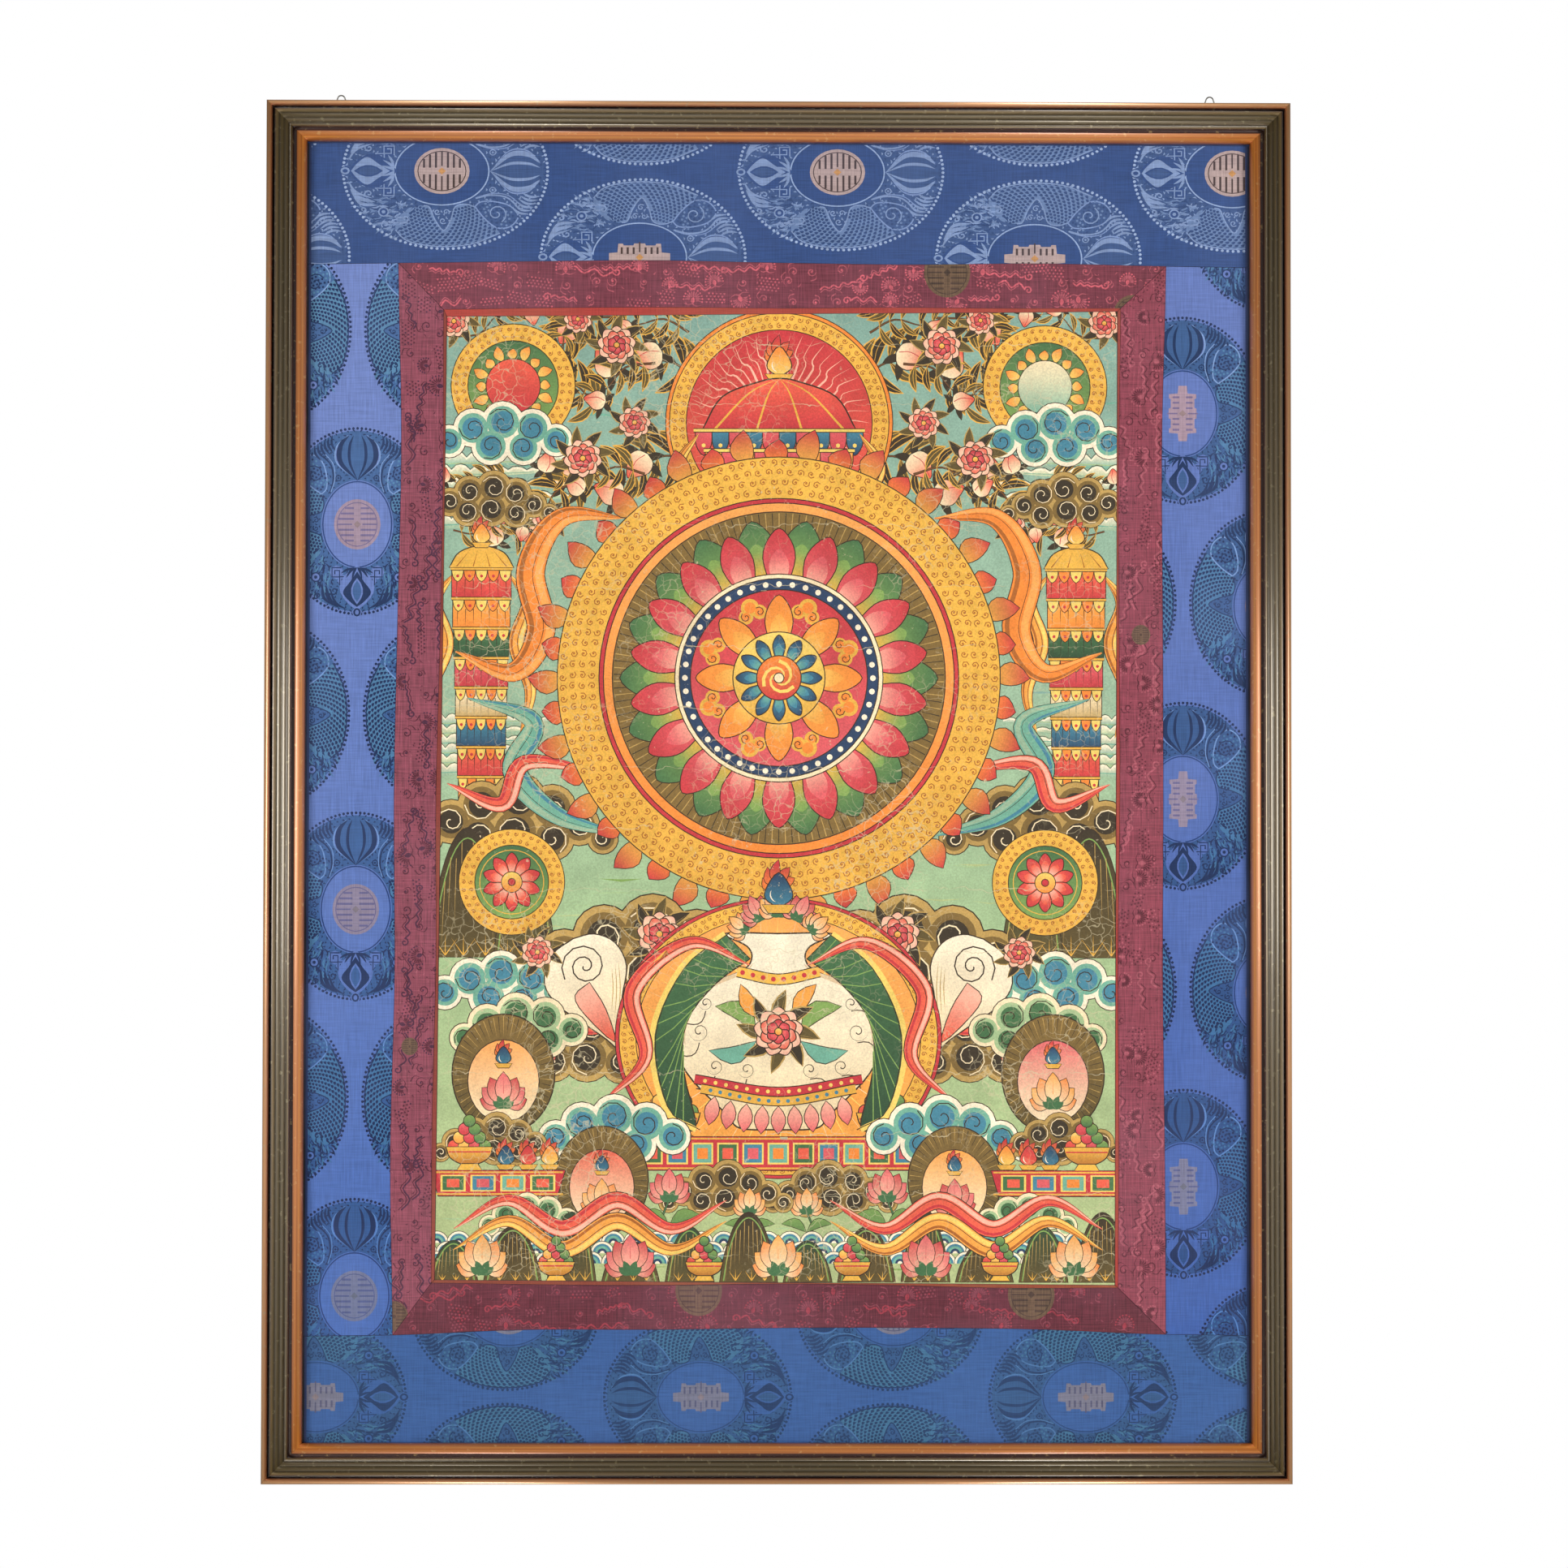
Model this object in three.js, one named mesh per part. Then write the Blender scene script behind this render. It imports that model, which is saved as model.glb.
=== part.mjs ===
// A thangka, a painting on cloth sewn into a brocade mount, stretched in a mitred wooden picture frame.
//
// Millimetres. X runs to the viewer's right and Z up. The front faces -Y, and Y = 0 is the frame's back.
// The origin is on the frame's centre line, where the wall hooks bear inside the hanging rings.
import * as THREE from 'three';

// Driving dimensions of the frame. Every rail has the same moulding, mitred at 45 degrees.
const FRAME_WIDTH = 792;
const FRAME_HEIGHT = 1066;
const MOULDING_WIDTH = 21;
const SIGHT_INSET = 31;
const REBATE_INSET = 18;
const REBATE_DEPTH = 13;
const OUTER_SIDE_DEPTH = 20;
const BEAD_RADIUS = 2.5;
const BEAD_STEPS = 8;
const GROOVE_WIDTH = 1.3;
const GROOVE_FLOOR = 18.2;
const REED_COUNT = 4;
const REED_STEPS = 4;
const REED_RISE = 0.8;
const COVE_OUTER_DEPTH = 20.8;
const COVE_INNER_DEPTH = 16.6;
const COVE_SAG = 1.1;
const MITRE_GAP = 0.3;

// The gilt fillet: a tongue under the moulding's lip and a rounded bar that shows inside it.
const FILLET_BACK = 9;
const FILLET_TONGUE_INSET = 18.3;
const FILLET_TONGUE_FRONT = 12.7;
const FILLET_BAR_INSET = 22.8;
const FILLET_OUTER_FRONT = 15.4;
const FILLET_INNER_FRONT = 12.4;
const FILLET_CROWN = 2;
const FILLET_STEPS = 6;

// The cloth. Neighbouring pieces meet edge to edge at the seams, all on one gently rippled surface.
const CLOTH_INSET = 18.6;
const CLOTH_MID_DEPTH = 8;
const BLUE_THICKNESS = 1.2;
const MAROON_THICKNESS = 1.2;
const EDGING_THICKNESS = 1.8;
const PAINTING_THICKNESS = 1;
const SEAM_GAP = 0.3;
const SEAM_DROP_AT_RIM = 1;
const RIPPLE_START = 33;
const RIPPLE_FULL = 90;

// One row for each train of ripples: its height, its wavelengths across and down, and its phase.
const RIPPLES = [
  { height: 1.1, acrossLength: 295, downLength: 2600, shift: 0.2 },
  { height: 0.7, acrossLength: 1500, downLength: 446, shift: 1.2 },
  { height: 0.5, acrossLength: 364, downLength: 364, shift: 0 },
];

// The hanging rings, their straps and screws, on the back of the top rail.
const WIRE_RADIUS = 0.6;
const RING_TOP_RADIUS = 2.9;
const RING_BASE_RADIUS = 1.6;
const RING_LEAN = THREE.MathUtils.degToRad(17);
const RING_HEIGHT = 15;
const RING_ARC_STEPS = 8;
const WIRE_SIDES = 8;
const STRAP_GAP = 0.3;
const STRAP_THICKNESS = 0.8;
const STRAP_WIDTH = 7.6;
const STRAP_LENGTH = 10.2;
const STRAP_CORNER_STEPS = 10;
const SCREW_DROP = 6;
const SCREW_RADIUS = 2.4;
const SCREW_RISE = 1.4;
const SCREW_STEPS = 4;
const SCREW_SIDES = 16;

// One row for each ring: its place across the frame, and how far it rises above the top rail.
const RINGS = [
  { side: 'left', across: -340, rise: 7.6 },
  { side: 'right', across: 335.4, rise: 8.6 },
];

// The hooks bear on the underside of the rings' tops, which sets how far the frame's top lies below Z = 0.
const MEAN_RISE = (RINGS[0].rise + RINGS[1].rise) / 2;
const FRAME_TOP = 2 * WIRE_RADIUS - MEAN_RISE;

// Corners of the seams: X across from the centre line, and how far down from the frame's top edge.
const BORDER_CORNERS = {
  topLeft: { across: -294.4, down: 125 },
  topRight: { across: 300.4, down: 125.7 },
  bottomRight: { across: 299.4, down: 952 },
  bottomLeft: { across: -296.1, down: 952.7 },
};
const EDGING_CORNERS = {
  topLeft: { across: -259.4, down: 161 },
  topRight: { across: 265.2, down: 158.4 },
  bottomRight: { across: 262.4, down: 916 },
  bottomLeft: { across: -266.6, down: 912.6 },
};
const PAINTING_CORNERS = {
  topLeft: { across: -256.9, down: 166.4 },
  topRight: { across: 262.7, down: 160.9 },
  bottomRight: { across: 260.1, down: 914 },
  bottomLeft: { across: -264, down: 910.4 },
};

// How far each seam bows outward from the straight line between its corners, at equal steps along it.
const BORDER_BOWS = {
  top: [0, 1.7, 3.1, 1.3, 0.5, 2, 0],
  right: [0, -3.2, -2.6, -2.1, -2.4, -0.9, 0],
  bottom: [0, -4.1, -5.2, -5.3, -4.1, -4, 0],
  left: [0, 2.6, -0.1, 1.2, -0.8, -2.9, 0],
};
const EDGING_BOWS = {
  top: [0, 1.2, 1.6, 0.4, 0.9, 0.3, 0],
  right: [0, -1.4, -0.6, 0.5, -0.7, 0.4, 0],
  bottom: [0, 0.9, -0.6, -1.1, 0.5, 0.8, 0],
  left: [0, 0.9, -0.5, 1.1, -0.6, -1.2, 0],
};

// Steps of the cloth's mesh.
const SEAM_STEPS = { alongTop: 20, alongSide: 28 };
const MAROON_STEPS_ACROSS = 2;
const EDGING_STEPS_ACROSS = 1;
const WIDE_PANEL_STEPS = { besideBorder: 3, across: 4 };
const SIDE_PANEL_STEPS_ACROSS = 3;
const PAINTING_STEPS = { across: 18, down: 26 };

const WOOD = { roughness: 0.35, metalness: 0 };
const CLOTH = { roughness: 0.75, metalness: 0 };
const STEEL = { color: 0x9b9c98, roughness: 0.35, metalness: 0.9 };

const model = new THREE.Group();

function addPiece(name, geometry, look) {
  const mesh = new THREE.Mesh(geometry, new THREE.MeshStandardMaterial(look));
  mesh.name = name;
  model.add(mesh);
  return mesh;
}

// The moulding's section, as pairs: how far inward from the frame's outer edge, how far forward of its back.
function mouldingSection() {
  const section = [[0, 0], [REBATE_INSET, 0], [REBATE_INSET, REBATE_DEPTH], [MOULDING_WIDTH, REBATE_DEPTH]];
  section.push([MOULDING_WIDTH, COVE_INNER_DEPTH]);
  const coveStart = 2 * BEAD_RADIUS + GROOVE_WIDTH;
  const coveWidth = MOULDING_WIDTH - coveStart;
  const coveSteps = REED_COUNT * REED_STEPS;
  for (let i = 1; i <= coveSteps; i += 1) {
    const t = 1 - i / coveSteps;
    const slope = THREE.MathUtils.lerp(COVE_OUTER_DEPTH, COVE_INNER_DEPTH, t);
    const sag = COVE_SAG * Math.sin(Math.PI * t);
    const reed = REED_RISE * Math.abs(Math.sin(Math.PI * REED_COUNT * t));
    section.push([coveStart + coveWidth * t, slope - sag + reed]);
  }
  section.push([coveStart, GROOVE_FLOOR], [2 * BEAD_RADIUS, GROOVE_FLOOR]);
  for (let i = 0; i <= BEAD_STEPS; i += 1) {
    const angle = Math.PI * i / BEAD_STEPS;
    const inward = BEAD_RADIUS + BEAD_RADIUS * Math.cos(angle);
    section.push([inward, OUTER_SIDE_DEPTH + BEAD_RADIUS * Math.sin(angle)]);
  }
  return section;
}

// The fillet's section, in the same pairs. Its bar slopes towards the cloth under a rounded crown.
function filletSection() {
  const section = [[FILLET_TONGUE_INSET, FILLET_BACK], [SIGHT_INSET, FILLET_BACK]];
  const middle = (FILLET_BAR_INSET + SIGHT_INSET) / 2;
  const halfWidth = (SIGHT_INSET - FILLET_BAR_INSET) / 2;
  for (let i = 0; i <= FILLET_STEPS; i += 1) {
    const angle = Math.PI * i / FILLET_STEPS;
    const foot = THREE.MathUtils.lerp(FILLET_INNER_FRONT, FILLET_OUTER_FRONT, i / FILLET_STEPS);
    const crown = FILLET_CROWN * Math.sin(angle);
    section.push([middle + halfWidth * Math.cos(angle), foot + crown]);
  }
  section.push([FILLET_BAR_INSET, FILLET_TONGUE_FRONT], [FILLET_TONGUE_INSET, FILLET_TONGUE_FRONT]);
  return section;
}

// A rail: the section drawn out along X, its ends cut back to 45 degrees by each point's own inset.
function mitredRail(section, length) {
  const outline = new THREE.Shape(section.map(([inward, forward]) => new THREE.Vector2(inward, forward)));
  const rail = new THREE.ExtrudeGeometry(outline, { depth: 1, bevelEnabled: false });
  const corners = rail.attributes.position;
  const endGap = MITRE_GAP * Math.SQRT1_2;
  for (let i = 0; i < corners.count; i += 1) {
    const inward = corners.getX(i);
    const forward = corners.getY(i);
    const halfLength = length / 2 - inward - endGap;
    const end = corners.getZ(i) > 0.5 ? -1 : 1;
    corners.setXYZ(i, end * halfLength, -forward, -inward);
  }
  rail.deleteAttribute('normal');
  rail.deleteAttribute('uv');
  return rail;
}

function addRails(name, section, look) {
  const rails = [
    { side: 'top', turn: 0, length: FRAME_WIDTH, reach: FRAME_HEIGHT / 2 },
    { side: 'right', turn: Math.PI / 2, length: FRAME_HEIGHT, reach: FRAME_WIDTH / 2 },
    { side: 'bottom', turn: Math.PI, length: FRAME_WIDTH, reach: FRAME_HEIGHT / 2 },
    { side: 'left', turn: -Math.PI / 2, length: FRAME_HEIGHT, reach: FRAME_WIDTH / 2 },
  ];
  for (const { side, turn, length, reach } of rails) {
    const rail = addPiece(`${name}_${side}`, mitredRail(section, length), look);
    rail.rotation.y = turn;
    rail.position.x = Math.sin(turn) * reach;
    rail.position.z = Math.cos(turn) * reach + FRAME_TOP - FRAME_HEIGHT / 2;
  }
}

// How far the cloth stands forward of flat. It is flat under the fillet and ripples gently inside it.
function rippleAt(across, down) {
  const toEdge = Math.min(FRAME_WIDTH / 2 - Math.abs(across), down, FRAME_HEIGHT - down);
  const free = THREE.MathUtils.smoothstep(toEdge, RIPPLE_START, RIPPLE_FULL);
  let forward = 0;
  for (const { height, acrossLength, downLength, shift } of RIPPLES) {
    const phase = across / acrossLength + down / downLength;
    forward += height * Math.sin(2 * Math.PI * phase + shift);
  }
  return free * forward;
}

function clothPoint({ across, down }, lift) {
  const depth = CLOTH_MID_DEPTH + rippleAt(across, down) + lift;
  return [across, -depth, FRAME_TOP - down];
}

function between(a, b, t) {
  return {
    across: THREE.MathUtils.lerp(a.across, b.across, t),
    down: THREE.MathUtils.lerp(a.down, b.down, t),
  };
}

function pulledIn(from, towards, distance) {
  const length = Math.hypot(towards.across - from.across, towards.down - from.down);
  return between(from, towards, distance / length);
}

// The offset at t of a bow given at equal steps, joined by a smooth curve.
function bowAt(bow, t) {
  const points = bow.map((offset, i) => new THREE.Vector2(i, offset));
  return new THREE.SplineCurve(points).getPoint(t).y;
}

// Points along a seam. Outward is to the left of its direction, which runs clockwise round the painting.
function seam(from, to, bow, steps) {
  const length = Math.hypot(to.across - from.across, to.down - from.down);
  const outward = {
    across: (to.down - from.down) / length,
    down: -(to.across - from.across) / length,
  };
  return Array.from({ length: steps + 1 }, (_, i) => {
    const t = i / steps;
    const offset = bowAt(bow, t);
    const point = between(from, to, t);
    return {
      across: point.across + outward.across * offset,
      down: point.down + outward.down * offset,
    };
  });
}

function straight(from, to, steps) {
  return Array.from({ length: steps + 1 }, (_, i) => between(from, to, i / steps));
}

// A sheet between two edges with as many points each, pulled in all round by half the seam's gap.
function sheetBetween(outer, inner, across, thickness) {
  const last = outer.length - 1;
  const half = SEAM_GAP / 2;
  const rows = outer.map((start, i) => {
    const points = straight(start, inner[i], across);
    points[0] = pulledIn(points[0], points[1], half);
    points[across] = pulledIn(points[across], points[across - 1], half);
    return points;
  });
  const trimmed = rows.map((points, i) => points.map((point, j) => {
    if (i === 0) return pulledIn(point, rows[1][j], half * Math.SQRT2);
    if (i === last) return pulledIn(point, rows[last - 1][j], half * Math.SQRT2);
    return point;
  }));
  const flat = trimmed.flat();
  const positions = [
    ...flat.flatMap((point) => clothPoint(point, thickness / 2)),
    ...flat.flatMap((point) => clothPoint(point, -thickness / 2)),
  ];
  const width = across + 1;
  const front = (i, j) => i * width + j;
  const back = (i, j) => flat.length + i * width + j;
  const faces = [];
  const quad = (a, b, c, d) => faces.push(a, b, c, a, c, d);
  for (let i = 0; i < last; i += 1) {
    for (let j = 0; j < across; j += 1) {
      quad(front(i, j), front(i, j + 1), front(i + 1, j + 1), front(i + 1, j));
      quad(back(i, j), back(i + 1, j), back(i + 1, j + 1), back(i, j + 1));
    }
    quad(back(i, 0), front(i, 0), front(i + 1, 0), back(i + 1, 0));
    quad(front(i, across), back(i, across), back(i + 1, across), front(i + 1, across));
  }
  for (let j = 0; j < across; j += 1) {
    quad(front(0, j), back(0, j), back(0, j + 1), front(0, j + 1));
    quad(back(last, j), front(last, j), front(last, j + 1), back(last, j + 1));
  }
  const sheet = new THREE.BufferGeometry();
  sheet.setAttribute('position', new THREE.Float32BufferAttribute(positions, 3));
  sheet.setIndex(faces);
  return sheet;
}

// The four seams of one ring of corners, clockwise from the top left.
function seamsAround(corners, bows) {
  const { topLeft, topRight, bottomRight, bottomLeft } = corners;
  return {
    top: seam(topLeft, topRight, bows.top, SEAM_STEPS.alongTop),
    right: seam(topRight, bottomRight, bows.right, SEAM_STEPS.alongSide),
    bottom: seam(bottomRight, bottomLeft, bows.bottom, SEAM_STEPS.alongTop),
    left: seam(bottomLeft, topLeft, bows.left, SEAM_STEPS.alongSide),
  };
}

const STRAIGHT_SIDES = { top: [0, 0], right: [0, 0], bottom: [0, 0], left: [0, 0] };
const SIDES = ['top', 'right', 'bottom', 'left'];

function addMitredStrips(name, outer, inner, across, thickness, look) {
  for (const side of SIDES) {
    addPiece(`${name}_${side}`, sheetBetween(outer[side], inner[side], across, thickness), look);
  }
}

function addBluePanels(borderSeams, look) {
  const { topLeft, topRight, bottomRight, bottomLeft } = BORDER_CORNERS;
  const reach = FRAME_WIDTH / 2 - CLOTH_INSET;
  const lowest = FRAME_HEIGHT - CLOTH_INSET;
  const atRim = (corner) => ({
    across: Math.sign(corner.across) * reach,
    down: corner.down + SEAM_DROP_AT_RIM,
  });

  const addWide = (name, rimDown, left, middle, right) => {
    const inner = [
      ...straight(atRim(left), left, WIDE_PANEL_STEPS.besideBorder).slice(0, -1),
      ...middle,
      ...straight(right, atRim(right), WIDE_PANEL_STEPS.besideBorder).slice(1),
    ];
    const outer = inner.map((point) => ({ across: point.across, down: rimDown }));
    addPiece(name, sheetBetween(outer, inner, WIDE_PANEL_STEPS.across, BLUE_THICKNESS), look);
  };
  addWide('blue_top', CLOTH_INSET, topLeft, borderSeams.top, topRight);
  addWide('blue_bottom', lowest, bottomRight, borderSeams.bottom, bottomLeft);

  const addSide = (name, from, inner, to) => {
    const outer = straight(atRim(from), atRim(to), inner.length - 1);
    addPiece(name, sheetBetween(outer, inner, SIDE_PANEL_STEPS_ACROSS, BLUE_THICKNESS), look);
  };
  addSide('blue_right', topRight, borderSeams.right, bottomRight);
  addSide('blue_left', bottomLeft, borderSeams.left, topLeft);
}

function addPainting(look) {
  const { topLeft, topRight, bottomRight, bottomLeft } = PAINTING_CORNERS;
  const top = straight(topLeft, topRight, PAINTING_STEPS.across);
  const bottom = straight(bottomLeft, bottomRight, PAINTING_STEPS.across);
  addPiece('painting', sheetBetween(top, bottom, PAINTING_STEPS.down, PAINTING_THICKNESS), look);
}

function baseWireHeight(rise) {
  return rise + WIRE_RADIUS - RING_HEIGHT;
}

// The centre line of a ring: an upright triangle with round corners, its top's outside at the given rise.
// The sides touch the arcs at the top and at the base, which sets how far apart the base's arcs stand.
function ringCentreLine(rise) {
  const top = rise - WIRE_RADIUS - RING_TOP_RADIUS;
  const base = baseWireHeight(rise) + RING_BASE_RADIUS;
  const spread = (top - base) * Math.sin(RING_LEAN) + RING_TOP_RADIUS - RING_BASE_RADIUS;
  const halfBase = spread / Math.cos(RING_LEAN);
  const arcs = [
    { across: halfBase, up: base, radius: RING_BASE_RADIUS, from: -Math.PI / 2, to: RING_LEAN },
    { across: 0, up: top, radius: RING_TOP_RADIUS, from: RING_LEAN, to: Math.PI - RING_LEAN },
    { across: -halfBase, up: base, radius: RING_BASE_RADIUS, from: Math.PI - RING_LEAN, to: 1.5 * Math.PI },
  ];
  const stations = [];
  for (const { across, up, radius, from, to } of arcs) {
    for (let i = 0; i <= RING_ARC_STEPS; i += 1) {
      const angle = THREE.MathUtils.lerp(from, to, i / RING_ARC_STEPS);
      const outward = new THREE.Vector3(Math.cos(angle), 0, Math.sin(angle));
      const centre = new THREE.Vector3(across, 0, up).addScaledVector(outward, radius);
      stations.push({ centre, outward });
    }
  }
  return stations;
}

// A closed wire ring: a round section carried along the centre line and joined to its own start.
function ringGeometry(rise) {
  const stations = ringCentreLine(rise);
  const positions = [];
  for (const { centre, outward } of stations) {
    for (let k = 0; k < WIRE_SIDES; k += 1) {
      const angle = 2 * Math.PI * k / WIRE_SIDES;
      const point = centre.clone().addScaledVector(outward, WIRE_RADIUS * Math.cos(angle));
      point.y += WIRE_RADIUS * Math.sin(angle);
      positions.push(point.x, point.y, point.z);
    }
  }
  const faces = [];
  for (let i = 0; i < stations.length; i += 1) {
    const next = (i + 1) % stations.length;
    for (let k = 0; k < WIRE_SIDES; k += 1) {
      const beside = (k + 1) % WIRE_SIDES;
      const corner = (station, side) => station * WIRE_SIDES + side;
      faces.push(corner(i, k), corner(next, beside), corner(next, k));
      faces.push(corner(i, k), corner(i, beside), corner(next, beside));
    }
  }
  const ring = new THREE.BufferGeometry();
  ring.setAttribute('position', new THREE.Float32BufferAttribute(positions, 3));
  ring.setIndex(faces);
  return ring;
}

// A strap folded round the ring's base wire, seen from its side: an eye with a tail that lies on the rail.
function strapGeometry() {
  const eyeRadius = WIRE_RADIUS + STRAP_GAP;
  const outerRadius = eyeRadius + STRAP_THICKNESS;
  const side = new THREE.Shape();
  side.moveTo(-outerRadius, -STRAP_LENGTH);
  side.lineTo(-outerRadius, 0);
  side.absarc(0, 0, outerRadius, Math.PI, 0, true);
  side.lineTo(outerRadius, -outerRadius);
  side.lineTo(STRAP_THICKNESS - outerRadius, -2 * outerRadius);
  side.lineTo(STRAP_THICKNESS - outerRadius, -STRAP_LENGTH);
  side.closePath();
  const eye = new THREE.Path();
  eye.absarc(0, 0, eyeRadius, 0, 2 * Math.PI, false);
  side.holes.push(eye);
  const options = { depth: STRAP_WIDTH, bevelEnabled: false, curveSegments: STRAP_CORNER_STEPS };
  const strap = new THREE.ExtrudeGeometry(side, options);
  strap.translate(0, 0, -STRAP_WIDTH / 2);
  // Turns the side view upright: its X becomes Y, its Y becomes Z and the width runs along X.
  strap.applyMatrix4(new THREE.Matrix4().set(0, 0, 1, 0, 1, 0, 0, 0, 0, 1, 0, 0, 0, 0, 0, 1));
  return strap;
}

// A round screw head: a low dome on a flat face, turned about Y.
function screwGeometry() {
  const profile = [new THREE.Vector2(0, 0)];
  for (let i = 0; i <= SCREW_STEPS; i += 1) {
    const angle = Math.PI / 2 * i / SCREW_STEPS;
    profile.push(new THREE.Vector2(SCREW_RADIUS * Math.cos(angle), SCREW_RISE * Math.sin(angle)));
  }
  profile[profile.length - 1].x = 0;
  return new THREE.LatheGeometry(profile, SCREW_SIDES);
}

function addHangers() {
  const strapCentre = STRAP_GAP + STRAP_THICKNESS + STRAP_GAP + WIRE_RADIUS;
  for (const { side, across, rise } of RINGS) {
    const ring = addPiece(`ring_${side}`, ringGeometry(rise), STEEL);
    ring.position.set(across, strapCentre, FRAME_TOP);

    const strap = addPiece(`strap_${side}`, strapGeometry(), STEEL);
    const baseWire = FRAME_TOP + baseWireHeight(rise);
    strap.position.set(across, strapCentre, baseWire);

    const screw = addPiece(`screw_${side}`, screwGeometry(), STEEL);
    const screwBack = 2 * STRAP_GAP + STRAP_THICKNESS;
    screw.position.set(across, screwBack, baseWire - SCREW_DROP);
  }
}

addRails('frame', mouldingSection(), { ...WOOD, color: 0x6a5a3c });
addRails('fillet', filletSection(), { ...WOOD, color: 0xcf8a45 });

const borderSeams = seamsAround(BORDER_CORNERS, BORDER_BOWS);
const edgingSeams = seamsAround(EDGING_CORNERS, EDGING_BOWS);
const paintingSeams = seamsAround(PAINTING_CORNERS, STRAIGHT_SIDES);
const maroon = { ...CLOTH, color: 0x8b3a50 };
const red = { ...CLOTH, color: 0xb23a3c };
addBluePanels(borderSeams, { ...CLOTH, color: 0x5a78bb });
addMitredStrips('maroon', borderSeams, edgingSeams, MAROON_STEPS_ACROSS, MAROON_THICKNESS, maroon);
addMitredStrips('edging', edgingSeams, paintingSeams, EDGING_STEPS_ACROSS, EDGING_THICKNESS, red);
addPainting({ ...CLOTH, color: 0xb7a878 });
addHangers();

export default model;
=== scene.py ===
# %% [markdown]
# # A thangka in a picture frame
#
# A thangka is a painting on cotton, sewn into borders of silk brocade. This one is stretched flat in a
# mitred wooden frame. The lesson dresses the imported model: each rail is softened and lacquered, and each
# cloth is cut again as one fine sheet, with its woven or painted figures as shapes in the mesh itself.

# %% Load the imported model
import math

import bmesh
import bpy
import numpy as np
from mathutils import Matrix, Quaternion, Vector
from mathutils.geometry import delaunay_2d_cdt


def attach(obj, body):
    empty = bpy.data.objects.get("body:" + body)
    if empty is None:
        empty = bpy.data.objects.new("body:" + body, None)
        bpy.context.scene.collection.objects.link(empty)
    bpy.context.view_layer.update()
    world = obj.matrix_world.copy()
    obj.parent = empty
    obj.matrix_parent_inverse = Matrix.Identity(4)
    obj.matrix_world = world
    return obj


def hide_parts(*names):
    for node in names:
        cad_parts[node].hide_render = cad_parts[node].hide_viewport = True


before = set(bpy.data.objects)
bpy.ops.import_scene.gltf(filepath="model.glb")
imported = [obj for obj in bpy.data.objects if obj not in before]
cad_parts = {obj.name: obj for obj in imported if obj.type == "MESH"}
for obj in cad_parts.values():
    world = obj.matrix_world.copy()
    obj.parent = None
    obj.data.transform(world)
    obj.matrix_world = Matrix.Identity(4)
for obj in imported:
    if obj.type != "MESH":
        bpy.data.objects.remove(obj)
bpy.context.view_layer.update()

MM = 0.001

# %% [markdown]
# ## The studio
#
# The picture is copied the way a saleroom copies one: a long lens a few metres away, slightly low and to
# the left, and a tall soft lamp on each side. The tall lamps draw bright lines down the upright rails and
# leave the level rails dark. The background is plain white and lights the picture only weakly.

# %% Camera
def add_object(name, data):
    """A new object of the scene."""
    made = bpy.data.objects.new(name, data)
    bpy.context.scene.collection.objects.link(made)
    return made


FRAME_SIZE = (0.792, 1.066)
FRAME_TOP = -0.0069
FRAME_CENTRE = Vector((0, -0.02, FRAME_TOP - FRAME_SIZE[1] / 2))
VIEW_DISTANCE = 4.0
VIEW_WIDTH = 1932 / 1600          # metres across the picture plane: 1932 pixels at 1600 to the metre
SENSOR = 36

target = FRAME_CENTRE + Vector((0.0044, 0, 0.0047))
lens = bpy.data.cameras.new("copy_camera")
lens.sensor_width = SENSOR
lens.lens = SENSOR * VIEW_DISTANCE / VIEW_WIDTH
camera = add_object("copy_camera", lens)
camera.location = FRAME_CENTRE + Vector((-0.048, -VIEW_DISTANCE, -0.117))
aim = (target - camera.location).to_track_quat("-Z", "Y")
camera.rotation_euler = (aim @ Quaternion((0, 0, 1), math.radians(0.075))).to_euler()
bpy.context.scene.camera = camera
bpy.context.scene.view_settings.view_transform = "Standard"
print("lens, mm:", round(lens.lens, 1))


# %% Lamps, background and floor
def soft_lamp(name, place, size, watts):
    """A rectangular lamp that faces the picture's middle."""
    light = bpy.data.lights.new(name, "AREA")
    light.shape = "RECTANGLE"
    light.size, light.size_y = size
    light.energy = watts
    lamp = add_object(name, light)
    lamp.location = place
    lamp.rotation_euler = (FRAME_CENTRE - Vector(place)).to_track_quat("-Z", "Y").to_euler()


LAMP_HEIGHT = FRAME_CENTRE.z + 0.1
soft_lamp("lamp_left", (-2.5, -1.75, LAMP_HEIGHT), (0.8, 2.2), 51)
soft_lamp("lamp_right", (2.3, -1.65, LAMP_HEIGHT), (0.8, 2.2), 54)
soft_lamp("lamp_behind", (0.6, 3.0, FRAME_CENTRE.z), (1.2, 1.2), 16)


def wire(tree, target, inputs):
    """Gives each named or numbered input of a node a value, another node's socket, or another node, of which
    it takes the first output. Math numbers its inputs from 0. Mix has its factor at 0 and its colours at 6
    and 7. MapRange has the value at 0, its two ends at 1 and 2, and the new ends at 3 and 4."""
    for socket, value in inputs.items():
        if isinstance(value, bpy.types.Node):
            value = value.outputs[0]
        if isinstance(value, bpy.types.NodeSocket):
            tree.links.new(value, target.inputs[socket])
        else:
            target.inputs[socket].default_value = value


def node(tree, kind, inputs={}, **settings):
    """Adds a shader node with its settings, and wires its inputs."""
    made = tree.nodes.new("ShaderNode" + kind)
    for setting, value in settings.items():
        setattr(made, setting, value)
    wire(tree, made, inputs)
    return made


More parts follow.
